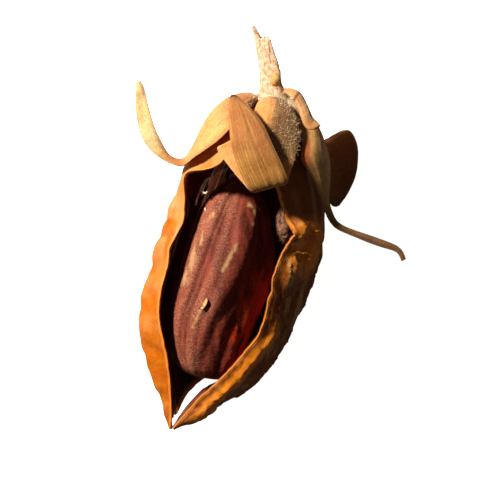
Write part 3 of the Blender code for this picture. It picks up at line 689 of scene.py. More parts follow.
def refined(points, rows, columns):
    """A coarse grid of points made finer along smooth curves."""
    lengthwise = spline(points)(np.linspace(0, 1, rows))
    crosswise = spline(lengthwise.swapaxes(0, 1))(np.linspace(0, 1, columns))
    return crosswise.swapaxes(0, 1)


def margin_distance(points):
    """How far each point of a sheet lies from the nearer of its two lengthwise edges, in millimetres."""
    gaps = np.linalg.norm(np.diff(points, axis=1), axis=-1)
    run = np.concatenate((np.zeros((len(points), 1)), np.cumsum(gaps, axis=1)), axis=1)
    return np.minimum(run, run[:, -1:] - run)


def linked(name, data):
    """A new object of the scene that holds these data."""
    made = bpy.data.objects.new(name, data)
    bpy.context.scene.collection.objects.link(made)
    return made


def mesh_object(name, points, faces, values, uv):
    """A smooth mesh at its place in metres, with its values as attributes."""
    mesh = bpy.data.meshes.new(name)
    mesh.from_pydata((points + CENTRING) * MM, [], faces)
    for label, value in values.items():
        carried = mesh.attributes.new(label, "FLOAT", "POINT")
        carried.data.foreach_set("value", np.asarray(value, np.float32).ravel())
    corners = np.empty(len(mesh.loops), np.int32)
    mesh.loops.foreach_get("vertex_index", corners)
    layer = mesh.uv_layers.new(name="UVMap")
    layer.data.foreach_set("uv", np.asarray(uv, np.float32)[corners].ravel())
    mesh.shade_smooth()
    mesh.set_sharp_from_angle(angle=SHARP_ANGLE)
    mesh.update()
    return linked(name, mesh)


def closed_sheet(name, outside, inside, values):
    """A sheet with a thickness: its outside, its inside and the rim that joins them."""
    rows, columns = outside.shape[:2]
    count = rows * columns
    index = numbered(rows, columns)
    quads = quads_of(index)
    border = (index[:-1, 0], index[-1, :-1], index[:0:-1, -1], index[0, :0:-1])
    loop = np.concatenate(border)
    following = np.roll(loop, -1)
    rim = np.stack((following, loop, loop + count, following + count), -1)
    faces = np.concatenate((quads, quads[:, ::-1] + count, rim))
    if ((outside - inside) * normals(outside)).sum() < 0:
        faces = faces[:, ::-1]
    points = np.concatenate((outside.reshape(-1, 3), inside.reshape(-1, 3)))
    doubled = {label: np.concatenate((value.ravel(), value.ravel())) for label, value in values.items()}
    doubled["inside"] = np.repeat((0.0, 1.0), count)
    shares = np.stack(grid(rows, columns), -1).reshape(-1, 2)
    return mesh_object(name, points, faces.tolist(), doubled, np.concatenate((shares, shares)))


def closed_round(name, rings, values):
    """A closed body from rings of points, with a point at the middle of each end."""
    rows, columns = rings.shape[:2]
    index = numbered(rows, columns)
    sides = quads_of(np.concatenate((index, index[:, :1]), axis=1))
    first, last = rows * columns, rows * columns + 1
    following = np.roll(index, -1, axis=1)
    caps = [(first, b, a) for a, b in zip(index[0], following[0])]
    caps += [(last, a, b) for a, b in zip(index[-1], following[-1])]
    points = np.concatenate((rings.reshape(-1, 3), rings[:1].mean(1), rings[-1:].mean(1)))
    faces = sides.tolist() + [tuple(int(n) for n in cap) for cap in caps]
    across = points[sides[:, 2]] - points[sides[:, 0]]
    other = points[sides[:, 3]] - points[sides[:, 1]]
    away = points[sides[:, 0]] - rings.mean(1)[sides[:, 0] // columns]
    if (np.cross(across, other) * away).sum() < 0:
        faces = [face[::-1] for face in faces]
    ends = {
        label: np.concatenate((value.ravel(), [value[0].mean(), value[-1].mean()]))
        for label, value in values.items()
    }
    shares = np.stack(grid(rows, columns), -1).reshape(-1, 2)
    return mesh_object(name, points, faces, ends, np.concatenate((shares, [(0, 0.5), (1, 0.5)])))


def tube_rings(path, rows, columns):
    """Rings round a path of x, y, z and radius, their outward directions, and the two grids of shares."""
    along, angle = ring_grid(rows, columns)
    middle = spline(path)(along)
    tangent = unit(np.gradient(middle[..., :3], axis=0))
    side = unit(np.cross(tangent, (0.0, 0.0, 1.0)))
    up = np.cross(side, tangent)
    away = side * np.cos(angle)[..., None] + up * np.sin(angle)[..., None]
    return middle, away, along, angle


def put_in_frame(piece, finish, slot, *nodes):
    """Ties a piece to the frame, with its material unless it has that already."""
    if finish:
        piece.data.materials.append(finish)
    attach(piece, BODY)
    if nodes:
        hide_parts(*nodes)


def add(tree, kind, inputs=None, **settings):
    """A new node with its settings made, and its inputs set to values or joined to sockets."""
    node = tree.nodes.new(kind)
    for name, value in settings.items():
        setattr(node, name, value)
    for name, value in (inputs or {}).items():
        if isinstance(value, bpy.types.NodeSocket):
            tree.links.new(value, node.inputs[name])
        else:
            node.inputs[name].default_value = value
    return node


def blend(tree, share, first, second, mode="MIX"):
    """The colour between two others, as a socket."""
    colours = [
        colour if isinstance(colour, bpy.types.NodeSocket) else (*colour, 1.0) for colour in (first, second)
    ]
    return add(
        tree, "ShaderNodeMix", {0: share, 6: colours[0], 7: colours[1]}, data_type="RGBA", blend_type=mode
    ).outputs[2]


def calculate(tree, operation, first, second=0.5):
    return add(tree, "ShaderNodeMath", {0: first, 1: second}, operation=operation).outputs[0]


def steps(tree, value, low, high):
    """A value spread from its low and high marks over 0 to 1, as a socket."""
    node = add(tree, "ShaderNodeMapRange", {"Value": value, "From Min": low, "From Max": high})
    node.interpolation_type = "SMOOTHSTEP"
    return node.outputs[0]


def cloud(tree, place, scale, detail, **more):
    """Soft noise from 0 to 1, as a socket."""
    inputs = {"Vector": place, "Scale": scale, "Detail": detail, **more}
    return add(tree, "ShaderNodeTexNoise", inputs).outputs["Fac"]


def attribute(tree, name):
    """A value that the mesh carries at its points, as a socket."""
    return add(tree, "ShaderNodeAttribute", attribute_name=name).outputs["Fac"]


def new_group(name, inputs, outputs):
    """An empty shader node group with named inputs and outputs."""
    tree = bpy.data.node_groups.new(name, "ShaderNodeTree")
    for label, (kind, value) in inputs.items():
        socket = tree.interface.new_socket(label, in_out="INPUT", socket_type=kind)
        if value is not None:
            socket.default_value = value
    for label, kind in outputs.items():
        tree.interface.new_socket(label, in_out="OUTPUT", socket_type=kind)
    return tree, add(tree, "NodeGroupInput").outputs, add(tree, "NodeGroupOutput").inputs


def mottle_group():
    """Tints a colour in blotches, and in finer flecks on them."""
    tree, given, put = new_group(
        "Mottle",
        {
            "Colour": ("NodeSocketColor", (0.5, 0.5, 0.5, 1.0)),
            "Place": ("NodeSocketVector", None),
            "Size": ("NodeSocketFloat", 1.0),
            "Dark Tint": ("NodeSocketColor", (0.5, 0.5, 0.5, 1.0)),
            "Light Tint": ("NodeSocketColor", (1.0, 1.0, 1.0, 1.0)),
        },
        {"Colour": "NodeSocketColor"},
    )
    blotch = cloud(tree, given["Place"], calculate(tree, "DIVIDE", 1.0, given["Size"]), 5.0, Roughness=0.6)
    tint = blend(tree, steps(tree, blotch, 0.32, 0.68), given["Dark Tint"], given["Light Tint"])
    tree.links.new(blend(tree, 1.0, given["Colour"], tint, "MULTIPLY"), put["Colour"])
    return tree


def streak_group():
    """Narrow lengthwise streaks, from 0 to 1, on a surface's own map."""
    tree, given, put = new_group(
        "Streaks",
        {
            "Map": ("NodeSocketVector", None),
            "Lengthwise": ("NodeSocketFloat", 4.0),
            "Crosswise": ("NodeSocketFloat", 40.0),
            "Threshold": ("NodeSocketFloat", 0.5),
        },
        {"Mask": "NodeSocketFloat"},
    )
    scale = add(tree, "ShaderNodeCombineXYZ", {0: given["Lengthwise"], 1: given["Crosswise"], 2: 1.0})
    place = add(tree, "ShaderNodeVectorMath", {0: given["Map"], 1: scale.outputs[0]}, operation="MULTIPLY")
    wave = cloud(tree, place.outputs[0], 1.0, 4.0, Distortion=0.4)
    high = calculate(tree, "ADD", given["Threshold"], 0.16)
    tree.links.new(steps(tree, wave, given["Threshold"], high), put["Mask"])
    return tree


def grain_group():
    """The height of a dry skin: a coarse and a fine grain together, from 0 to 1."""
    tree, given, put = new_group(
        "Skin grain",
        {
            "Place": ("NodeSocketVector", None),
            "Coarse Size": ("NodeSocketFloat", 0.4),
            "Fine Size": ("NodeSocketFloat", 0.1),
        },
        {"Height": "NodeSocketFloat"},
    )
    scales = [calculate(tree, "DIVIDE", 1.0, given[label]) for label in ("Coarse Size", "Fine Size")]
    total = calculate(tree, "ADD", *(cloud(tree, given["Place"], scale, 3.0) for scale in scales))
    tree.links.new(calculate(tree, "MULTIPLY", total, 0.5), put["Height"])
    return tree


def shared_group(name):
    """A node group by its name, built the first time that a material asks for it."""
    makers = {"Mottle": mottle_group, "Streaks": streak_group, "Skin grain": grain_group}
    return bpy.data.node_groups.get(name) or makers[name]()


def grouped(tree, name, inputs):
    return add(tree, "ShaderNodeGroup", inputs, node_tree=shared_group(name))


def mottled(tree, colour, place, layers):
    """A colour tinted by layers of blotches, as a socket."""
    for size, dark, light in layers:
        if not isinstance(colour, bpy.types.NodeSocket):
            colour = (*colour, 1.0)
        colour = grouped(tree, "Mottle", {
            "Colour": colour, "Place": place, "Size": size,
            "Dark Tint": (*dark, 1.0), "Light Tint": (*light, 1.0),
        }).outputs[0]
    return colour


def streaked(tree, surface_map, lengthwise, crosswise, threshold=0.5):
    """A mask of lengthwise streaks, as a socket."""
    return grouped(tree, "Streaks", {
        "Map": surface_map, "Lengthwise": lengthwise, "Crosswise": crosswise, "Threshold": threshold,
    }).outputs[0]


def new_material(name, roughness, sheen=0.0):
    """A Principled material, with its tree, its shader and object coordinates in millimetres."""
    made = bpy.data.materials.new(name)
    made.use_nodes = True
    tree = made.node_tree
    shader = tree.nodes["Principled BSDF"]
    shader.inputs["Roughness"].default_value = roughness
    shader.inputs["Specular IOR Level"].default_value = SKIN_SHINE
    shader.inputs["Sheen Weight"].default_value = sheen
    where = add(tree, "ShaderNodeTexCoord")
    scaled = add(tree, "ShaderNodeVectorMath", {0: where.outputs["Object"], 3: 1 / MM}, operation="SCALE")
    return made, tree, shader, scaled.outputs[0], where.outputs["UV"]


def colours_along(tree, surface_map, stops):
    """A colour that changes along a piece, from its root to its tip."""
    along = add(tree, "ShaderNodeSeparateXYZ", {0: surface_map}).outputs[0]
    ramp = add(tree, "ShaderNodeValToRGB", {"Fac": along})
    marks = ramp.color_ramp.elements
    while len(marks) < len(stops):
        marks.new(0.5)
    for mark, (share, colour) in zip(marks, stops):
        mark.position = share
        mark.color = (*colour, 1.0)
    return ramp.outputs["Color"]


def bumped(tree, shader, place, coarse, fine, depth, extra=None):
    """Joins a skin's grain to a shader as bump, with its depth in millimetres."""
    sizes = {"Place": place, "Coarse Size": coarse, "Fine Size": fine}
    height = grouped(tree, "Skin grain", sizes).outputs[0]
    if extra is not None:
        height = calculate(tree, "ADD", height, extra)
    bump = add(tree, "ShaderNodeBump", {"Height": height, "Distance": depth * MM, "Strength": 1.0})
    tree.links.new(bump.outputs[0], shader.inputs["Normal"])


def layered_colour(tree, base, place, layers):
    """Lays colours over a base, each by a mesh attribute whose border the grain breaks up."""
    for name, colour, amount, size, soft in layers:
        ragged = calculate(tree, "ADD", cloud(tree, place, 1 / size, 4.0), attribute(tree, name))
        share = calculate(tree, "MULTIPLY", steps(tree, ragged, 0.95 - soft, 0.95 + soft), amount)
        base = blend(tree, share, base, colour)
    return base


def husk_material(name, outside, inside, settings, pale_patch_and_highlight_share, extra=()):
    """Dry, waxy husk: blotched orange outside with pale patches that are partly painted highlight, darker and
    fibrous inside, pale along its torn edge.
    """
    made, tree, shader, place, surface_map = new_material(name, settings.roughness)
    # The pale patches over the blotches are partly painted highlight.
    skin = layered_colour(tree, mottled(tree, outside, place, HUSK_MOTTLE), place, [
        ("pale_patch_and_highlight", settings.pale_patch_and_highlight_colour, pale_patch_and_highlight_share, 0.9, 0.55), *extra,
        ("edge", settings.edge_colour, 0.85, 0.4, 0.2),
    ])
    fibres = streaked(tree, surface_map, 6.0, 70.0, 0.45)
    lining = mottled(tree, inside, place, LINING_MOTTLE)
    lining = blend(tree, calculate(tree, "MULTIPLY", fibres, 0.35), lining, LINING_FIBRE_COLOUR)
    tree.links.new(blend(tree, attribute(tree, "inside"), skin, lining), shader.inputs["Base Color"])
    rough = add(tree, "ShaderNodeMapRange", {
        "Value": cloud(tree, place, 1.3, 3.0), "From Min": 0.3, "From Max": 0.7,
        "To Min": settings.roughness - 0.08, "To Max": settings.roughness + 0.12,
    })
    tree.links.new(rough.outputs[0], shader.inputs["Roughness"])
    bumped(tree, shader, place, 0.45, 0.12, 0.035, calculate(tree, "MULTIPLY", fibres, 0.25))
    return made


def seed_material(settings):
    """Maroon seed skin under a granular dust kept to its left side, which leaves the right side darker as
    painted shade, with tan scraps of the old membrane.
    """
    made, tree, shader, place, _ = new_material("seed_skin", 0.72)
    turned = add(tree, "ShaderNodeMapping", {
        "Vector": place, "Rotation": (0.0, 0.0, math.radians(-9.6)), "Scale": (1.0, 0.22, 1.0),
    }).outputs[0]
    bands = steps(tree, cloud(tree, turned, 1.5, 5.0), 0.36, 0.64)
    skin = blend(tree, bands, settings.dark_colour, settings.skin_colour)
    # The dust attribute also keeps the dust off the right side, which paints shade there.
    dust_and_painted_shade = attribute(tree, "dust")
    dust = steps(tree, cloud(tree, place, 9.0, 4.0, Roughness=0.7), 0.38, 0.68)
    skin = blend(tree, calculate(tree, "MULTIPLY", dust, dust_and_painted_shade), skin, settings.dust_colour)
    specks = add(tree, "ShaderNodeTexVoronoi", {"Vector": place, "Scale": 8.5})
    bright = calculate(tree, "MULTIPLY", steps(tree, specks.outputs["Distance"], 0.28, 0.12), dust_and_painted_shade)
    pick = add(tree, "ShaderNodeSeparateColor", {0: specks.outputs["Color"]}).outputs[0]
    bright = calculate(tree, "MULTIPLY", bright, steps(tree, pick, 0.45, 0.7))
    skin = blend(tree, calculate(tree, "MULTIPLY", bright, 0.45), skin, settings.tan_colour)
    skin = layered_colour(tree, skin, place, [
        # The notch: dark flesh, partly painted shadow of the flake beside it.
        ("tan", settings.tan_colour, 0.5, 0.14, 0.55), ("notch", settings.notch_and_shadow_colour, 0.9, 0.15, 0.2),
        # Painted reflection of the right valve's light on the seed's right side.
        ("painted_bounce", settings.painted_bounce_colour, 0.75, 0.8, 0.3),
    ])
    tree.links.new(skin, shader.inputs["Base Color"])
    bumped(tree, shader, place, 0.26, 0.09, 0.045, bright)
    return made


def sepal_material(name, stops, streak_colour, streak_amount, layers):
    """A dry sepal: its colours from root to tip, vein streaks, flecks and a fine felt."""
    made, tree, shader, place, surface_map = new_material(name, 0.82, 0.12)
    shader.inputs["Sheen Roughness"].default_value = 0.6
    base = mottled(tree, colours_along(tree, surface_map, stops), place, SEPAL_MOTTLE)
    streaks = streaked(tree, surface_map, 10.0, 56.0)
    base = blend(tree, calculate(tree, "MULTIPLY", streaks, streak_amount), base, streak_colour)
    base = layered_colour(tree, base, place, layers)
    tree.links.new(base, shader.inputs["Base Color"])
    bumped(tree, shader, place, 0.30, 0.09, 0.03, calculate(tree, "MULTIPLY", streaks, 0.3))
    return made


def dry_material(name, colour):
    """A dry surface of one colour with darker and lighter flecks, and fibres where it has them."""
    dark, light, size, roughness, fibrous, depth = DRY_FINISHES[name]
    made, tree, shader, place, surface_map = new_material(name, roughness)
    base = mottled(tree, colour, place, [(size, dark, light)])
    fibres = calculate(tree, "MULTIPLY", streaked(tree, surface_map, 9.0, 30.0), fibrous)
    base = blend(tree, fibres, base, blend(tree, 1.0, base, dark, "MULTIPLY"))
    tree.links.new(base, shader.inputs["Base Color"])
    bumped(tree, shader, place, 0.25, 0.08, depth, fibres)
    return made


def left_relief(along, across, points):
    """Shallow dents all over the left valve, with soft wrinkles between them."""
    return bumps(points, LEFT_BUMPS) + nets(points, LEFT_NET)


def rim_band(along, across, points):
    """1 along a band beside the right valve's split edge, in its lower half."""
    reach = margin_distance(points) * (1 + 0.2 * noise(points, 1.2, 18))
    beside = np.clip(reach / BAND_RISE, 0, 1) * (1 - smooth(BAND_SINKS, BAND_ENDS, reach)) * (across < 0.5)
    return beside * smooth(*BAND_ALONG, along)


def right_relief(along, across, points):
    """The right valve's lengthwise folds, its crumpled patch, and the net of wrinkles below."""
    folds = FOLD_HEIGHT * np.sin(math.tau * FOLDS * across + FOLD_WANDER * noise(points, 4.0, 11))
    folds *= stretch(along, *FOLDED_ALONG) * stretch(across, *FOLDED_ACROSS)
    for middle, reach, height in SHOULDERS:
        folds = folds + height * spot(points, middle, reach)
    folds = folds + BAND_HEIGHT * rim_band(along, across, points)
    crumple = nets(points, CRUMPLE_NET) * spot(points, CRUMPLED_AT, CRUMPLE_REACH)
    return folds + crumple + nets(points, RIGHT_NET) * smooth(*NET_FROM, along) + bumps(points, RIGHT_BUMPS)


def back_relief(along, across, points):
    """The back valve's net of wrinkles, which flattens where the fruit rests."""
    return (nets(points, BACK_NET) + bumps(points, BACK_BUMPS)) * smooth(0.0, FLAT_BELOW, points[..., 2])


def torn_shares(along, across, tucked, seed):
    """Shares across a valve whose ragged edges reach this share of its width past those of its solid."""
    line = np.zeros((*along.shape, 3))
    line[..., 0] = along
    front = TORN_DEPTH * layered(line, 0.03, seed)
    line[..., 1] = 5.0
    back = TORN_DEPTH * layered(line, 0.03, seed)
    return (front - tucked) * (1 - across) + across * (1 + tucked + back)


def husk_piece(node, relief_of, settings, seed):
    """One valve: its wrinkled outside, and an inside that keeps the wall's thickness from it."""
    along, across = grid(*VALVE_GRID)
    tucked = TUCKED_UNDER if node == "valve_back" else 0.0
    bare = valve_surface(node, along, torn_shares(along, across, tucked, seed))
    edge = margin_distance(bare)
    away = outward(bare)
    relief = relief_of(along, across, bare) * (EDGE_RELIEF + (1 - EDGE_RELIEF) * smooth(0.0, 1.0, edge))
    relief *= settings.relief * smooth(0.0, END_FADE, np.minimum(along, 1 - along))
    outside = bare + away * relief[..., None]
    outside[..., 2] = np.maximum(outside[..., 2], -CENTRING[2])
    narrow = smooth(0.0, NARROW_WIDTH, edge.max(axis=1, keepdims=True))
    full = np.maximum(smooth(0.0, FULL_WALL, edge), smooth(0.5, 0.9, across)) * narrow
    wall = settings.edge_wall + (settings.wall - settings.edge_wall) * full
    lining = bumps(bare, [(0.025, (0.5, 2.2, 0.5), seed + 40), (0.01, 0.25, seed + 41)])
    inside = bare + away * (INSIDE_RELIEF * relief - wall / MM + lining * smooth(0.0, 0.6, edge))[..., None]
    crumpled = spot(bare, CRUMPLED_AT, CRUMPLE_TINT_REACH) ** 0.5
    values = {
        "edge": 1 - smooth(0.0, FLESH_WIDTH, edge),
        # Pale patches, paler towards the stalk: partly the skin's tone, partly painted highlight.
        "pale_patch_and_highlight": smooth(-0.25, 0.35, noise(bare, 1.6, 3)) * (1 - 0.7 * smooth(0.35, 0.7, along)),
        # Crumpled patch and raised band, coloured bright orange: partly the skin's colour, partly painted
        # light.
        "crumple": np.maximum(crumpled, rim_band(along, across, bare)),
        "flank": smooth(0.1, 0.7, layered(bare, (0.7, 3.2, 0.7), 45, 2)) * stretch(along, 0.45, 0.8, 0.15),
    }
    return closed_sheet(node.replace("valve", "husk"), outside, inside, values)


def groove_depth(angle, height, grooves):
    """How deep these grooves of the seed are at an angle round it and a height from -1 to 1."""
    depth = np.zeros_like(angle)
    for start, end, width, deepest in grooves:
        middle = start + (end - start) * (height + 1) / 2
        off = (np.degrees(angle) - middle + 180) % 360 - 180
        depth += deepest * np.exp(-((off / width) ** 2))
    return depth


def seed_frame():
    """The directions to the seed's side and to its front."""
    side = unit(np.cross((0.0, 0.0, 1.0), SEED_AXIS))
    return side, np.cross(SEED_AXIS, side)


def seed_radius(height):
    """The seed's half width as a share of its greatest, at a height from -1 to 1."""
    return np.maximum(0.0, 1 - height**2) ** (0.44 - 0.17 * height)


def seed_bow(height):
    """How far the seed's middle line lies to the left of its axis."""
    return SEED_BOW * np.sin(math.pi * np.clip((height + 0.2) / 1.6, 0, 1)) ** 2


def on_seed(x, y):
    """The point of the seed's front that lies over a place seen from the front."""
    side, front = seed_frame()
    off = np.array((x, y, SEED_MIDDLE[2])) - SEED_MIDDLE
    height = off @ SEED_AXIS / (SEED_LENGTH / 2)
    radius = seed_radius(height) * SEED_WIDTH / 2
    aside = off @ side
    rise = math.sqrt(max(radius**2 - (aside + seed_bow(height)) ** 2, 0.0))
    return SEED_MIDDLE + SEED_AXIS * (off @ SEED_AXIS) + side * aside + front * rise


def stroke(points, path, width):
    """1 along a line of x, y places seen from the front, fading to 0 at this distance from it."""
    nearest = np.full(points.shape[:-1], np.inf)
    flat = points[..., :2]
    for start, end in zip(np.array(path[:-1]), np.array(path[1:])):
        run = end - start
        share = np.clip((flat - start) @ run / (run @ run), 0, 1)
        nearest = np.minimum(nearest, np.linalg.norm(flat - start - share[..., None] * run, axis=-1))
    facing = smooth(-0.5, 1.0, points[..., 2] - SEED_MIDDLE[2])
    return (1 - smooth(0.0, width, nearest)) * facing


def inside_triangle(points, corners, soft):
    """1 within a triangle of x, y places seen from the front, with a soft border."""
    centre = np.mean(corners, axis=0)
    found = np.ones(points.shape[:-1])
    for start, end in zip(np.array(corners), np.roll(corners, -1, axis=0)):
        across = np.array((end[1] - start[1], start[0] - end[0])) / np.linalg.norm(end - start)
        across = across if (centre - start) @ across > 0 else -across
        found = found * smooth(-soft / 2, soft / 2, (points[..., :2] - start) @ across)
    return found * (points[..., 2] > SEED_MIDDLE[2])


def seed_piece(settings):
    """The seed: a long egg with grooves, fine lengthwise wrinkles, dust kept to its left side as painted
    shade on the right, and a torn notch in its skin.
    """
    share, angle = ring_grid(*SEED_GRID)
    height = -np.cos(math.pi * (SEED_END + (1 - 2 * SEED_END) * share))
    side, front = seed_frame()
    round_off = seed_radius(height)
    away = side * np.cos(angle)[..., None] + front * np.sin(angle)[..., None]
    middle = SEED_MIDDLE + SEED_AXIS * (height * SEED_LENGTH / 2)[..., None]
    middle = middle - side * seed_bow(height)[..., None]
    plain = middle + away * (round_off * SEED_WIDTH / 2)[..., None]
    relief = -groove_depth(angle, height, SEED_GROOVES + FINE_GROOVES) * round_off * settings.groove
    grains = settings.grain / MM * noise(plain, GRAIN_SIZE, 52)
    relief = relief + smooth(0.0, 0.35, round_off) * (bumps(plain, SEED_BUMPS) + grains)
    notch = inside_triangle(plain, NOTCH, 0.12)
    relief = relief - NOTCH_DEPTH * notch
    tan = np.max([stroke(plain, path, width) for path, width in TAN_SCRAPS], axis=0)
    relief = relief + SCRAP_HEIGHT * tan * (1 + noise(plain, 0.3, 54))
    stripes = np.clip(0.8 + 0.9 * layered(plain, (0.45, 4.0, 0.45), 56, 2), 0, 1)
    dust = np.clip(0.72 + 0.3 * noise(plain, 2.2, 53) + 1.2 * relief, 0, 1)
    values = {
        "tan": tan * np.clip(0.55 + 1.3 * layered(plain, (0.35, 0.9, 0.35), 55, 2), 0, 1),
        # The notch, dark in colour: partly real flesh, partly painted shadow of the flake.
        "notch": notch,
        # Where the painted reflection of the right valve's light lies: the seed's right side, lower half, in
        # stripes.
        "painted_bounce": smooth(0.25, 0.95, np.cos(angle)) * smooth(-0.5, 0.3, height) * stripes,
        # Dust only on the left side: the right side is left darker as painted shade.
        "dust": dust * smooth(-0.25, 0.35, -np.cos(angle)),
    }
    return closed_round("seed_body", plain + away * relief[..., None], values)


def seed_flake():
    """The scrap of skin that stands up beside the notch."""
    along, across = grid(*FLAKE_GRID)
    foot = np.array([on_seed(*place) for place in FLAKE_FOOT])
    tip = np.array([on_seed(*place) for place in FLAKE_TIP]) + np.array((0.0, 0.0, FLAKE_RISE))
    low, high = spline(foot)(along), spline(tip)(along)
    sheet = low + (high - low) * across[..., None]
    sheet = sheet + normals(sheet) * (0.05 * np.sin(math.pi * across))[..., None]
    return closed_sheet("seed_flake", sheet, sheet - normals(sheet) * FLAKE_THICKNESS, {})


def ovule_piece():
    """The shrunken ovule, cracked like dry mud."""
    share, angle = ring_grid(*OVULE_GRID)
    height = -np.cos(math.pi * (OVULE_END + (1 - 2 * OVULE_END) * share))
    ring = np.sqrt(1 - height**2)
    away = np.stack((ring * np.cos(angle), height, -ring * np.sin(angle)), -1)
    plain = OVULE_MIDDLE + away * OVULE_RADII
    lump = 1 + bumps(plain, OVULE_BUMPS) - CRACK_DEPTH * nets(plain, OVULE_CRACKS)
    return closed_round("ovule_body", OVULE_MIDDLE + away * OVULE_RADII * lump[..., None], {})


def sepal_piece(name, sheets, settings, seed):
    """A thin sepal on the middle of its solid: veins, a crinkled blade and a thinner margin."""
    margins = SEPALS[name]
    rows = 2 * len(margins["upper"]) + 1
    coarse = laid_on(sepal_blade(margins, *grid(rows, BLADE_COLUMNS)), sheets, SEPAL_CLEARANCE)
    middle = refined(coarse, *SEPAL_GRID)
    along, across = grid(*SEPAL_GRID)
    edge = margin_distance(middle)
    width = 2 * edge.max(axis=1, keepdims=True)
    away = normals(middle)
    wander = 0.05 * noise(middle, 2.5, seed)
    fibres = np.stack((2.5 * along, 12 * (across + wander), 0 * along), -1)
    veins = 0.4 * np.cos(math.tau * VEINS * (across + wander)) + layered(fibres, 1.0, seed)
    relief = settings.vein_height / MM * veins * smooth(0.0, 0.5, edge) * smooth(0.6, 2.5, width)
    relief = relief + 0.05 * noise(middle, 1.1, seed + 1) * smooth(0.5, 2.0, width)
    relief = relief + 0.012 * noise(middle, 0.25, seed + 2)
    thickness = np.minimum(settings.thickness / MM, 0.55 * width)
    half = 0.5 * thickness * (0.3 + 0.7 * smooth(0.0, 0.3, edge))
    outside = middle + away * (half + relief)[..., None]
    inside = middle - away * (half - 0.7 * relief)[..., None]
    values = {
        "edge": 1 - smooth(0.0, 0.3, edge),
        "tip": smooth(0.96, 1.0, along),
        "root": 1 - smooth(0.03, 0.16, along),
        "felt": smooth(0.36, 0.72, across) * stretch(along, 0.0, 0.34, 0.1),
        "lip": stretch(along, 0.225, 0.235, 0.025),
        "streak": stretch(along, 0.48, 0.74, 0.08) * stretch(across, 0.2, 0.36, 0.1),
        # The patch: partly the sepal's colour, partly painted light.
        "patch": stretch(along, 0.23, 0.31, 0.05) * smooth(0.70, 0.88, across),
    }
    return closed_sheet(f"{name}_blade", outside, inside, values)


def stem_piece(settings):
    """The stalk with fibres along it, its torn end, and the receptacle below."""
    middle, away, along, angle = tube_rings(STALK_PATH, *STALK_GRID)
    line = np.stack((np.cos(angle), np.sin(angle), 0.35 * middle[..., 1]), -1)
    fibres = settings.fibre_height / MM * noise(line, (0.28, 0.28, 0.5), 70)
    lumps = 0.05 * noise(line, 0.9, 71)
    boxy = (np.cos(angle) ** SQUARENESS + np.sin(angle) ** SQUARENESS) ** (-1 / SQUARENESS)
    above = smooth(*SQUARE_FROM, middle[..., 1])
    radius = middle[..., 3] * (1 + (boxy - 1) * above) + (fibres + lumps) * smooth(0.0, 0.08, along)
    torn = TORN_END * noise(np.stack((np.cos(angle), np.sin(angle), 0 * angle), -1), 0.32, 72)
    points = middle[..., :3] + away * radius[..., None]
    points[..., 2] += STALK_LEAN * above * (points[..., 0] - middle[..., 0])
    points[..., 1] += smooth(0.97, 1.0, along) * (torn - TORN_SLANT * smooth(0.4, 1.0, np.cos(angle)))
    return closed_round("stem", points, {"receptacle": stretch(along, 0.2, 0.42, 0.08)})


def rod_piece(name, path, flatness, fibre, seed):
    """A small tapering piece of the stalk, such as its splinter or its scale leaf."""
    middle, away, _, angle = tube_rings(path, *ROD_GRID)
    line = np.stack((np.cos(angle), np.sin(angle), middle[..., 1]), -1)
    radius = middle[..., 3] + fibre * noise(line, (0.5, 0.5, 0.8), seed)
    points = middle[..., :3] + away * radius[..., None] * np.array((1.0, 1.0, flatness))
    return closed_round(name, points, {})


def lining_piece():
    """The thin inner lining that has come loose along the left valve's split edge."""
    along, across = grid(*LINING_GRID)
    line = np.zeros((*LINING_GRID, 3))
    line[..., 0] = along
    width = LINING_WIDTH + 0.02 * layered(line, 0.035, 80)
    bare = valve_surface("valve_left", LINING_FROM + LINING_LENGTH * along, LINING_IN + width * across)
    lift = LINING_LIFT + LINING_ARCH * np.sin(math.pi * across) + 0.08 * noise(bare, 0.9, 82)
    fade = smooth(0.0, 0.06, along) * smooth(0.0, 0.08, 1 - along)
    sheet = bare - outward(bare) * (lift * (0.6 + 0.4 * fade))[..., None]
    return closed_sheet("husk_lining", sheet, sheet - outward(sheet) * LINING_THICKNESS, {})


def geometry_tree(name, inputs):
    """An empty geometry node tree that takes a shape, these inputs and a material."""
    tree = bpy.data.node_groups.new(name, "GeometryNodeTree")
    for label, kind in {"Geometry": "Geometry", **inputs, "Finish": "Material"}.items():
        tree.interface.new_socket(label, in_out="INPUT", socket_type=f"NodeSocket{kind}")
    tree.interface.new_socket("Geometry", in_out="OUTPUT", socket_type="NodeSocketGeometry")
    return tree, add(tree, "NodeGroupInput").outputs


def ended(tree, shape, finish):
    """The tree, once its shape is made real, has its material and is put out."""
    whole = add(tree, "GeometryNodeRealizeInstances", {"Geometry": shape})
    painted = add(tree, "GeometryNodeSetMaterial", {"Geometry": whole.outputs[0], "Material": finish})
    add(tree, "NodeGroupOutput", {"Geometry": painted.outputs[0]})
    return tree


def fibre_tree():
    """Geometry nodes that turn paths into thin fibres with this thickness and number of sides."""
    tree, given = geometry_tree("Fibres along paths", {"Thickness": "Float", "Sides": "Int"})
    radius = calculate(tree, "MULTIPLY", given["Thickness"])
    ring = add(tree, "GeometryNodeCurvePrimitiveCircle", {"Resolution": given["Sides"], "Radius": radius})
    tube = add(tree, "GeometryNodeCurveToMesh", {
        "Curve": given["Geometry"], "Profile Curve": ring.outputs[0], "Fill Caps": True,
    })
    return ended(tree, tube.outputs[0], given["Finish"])


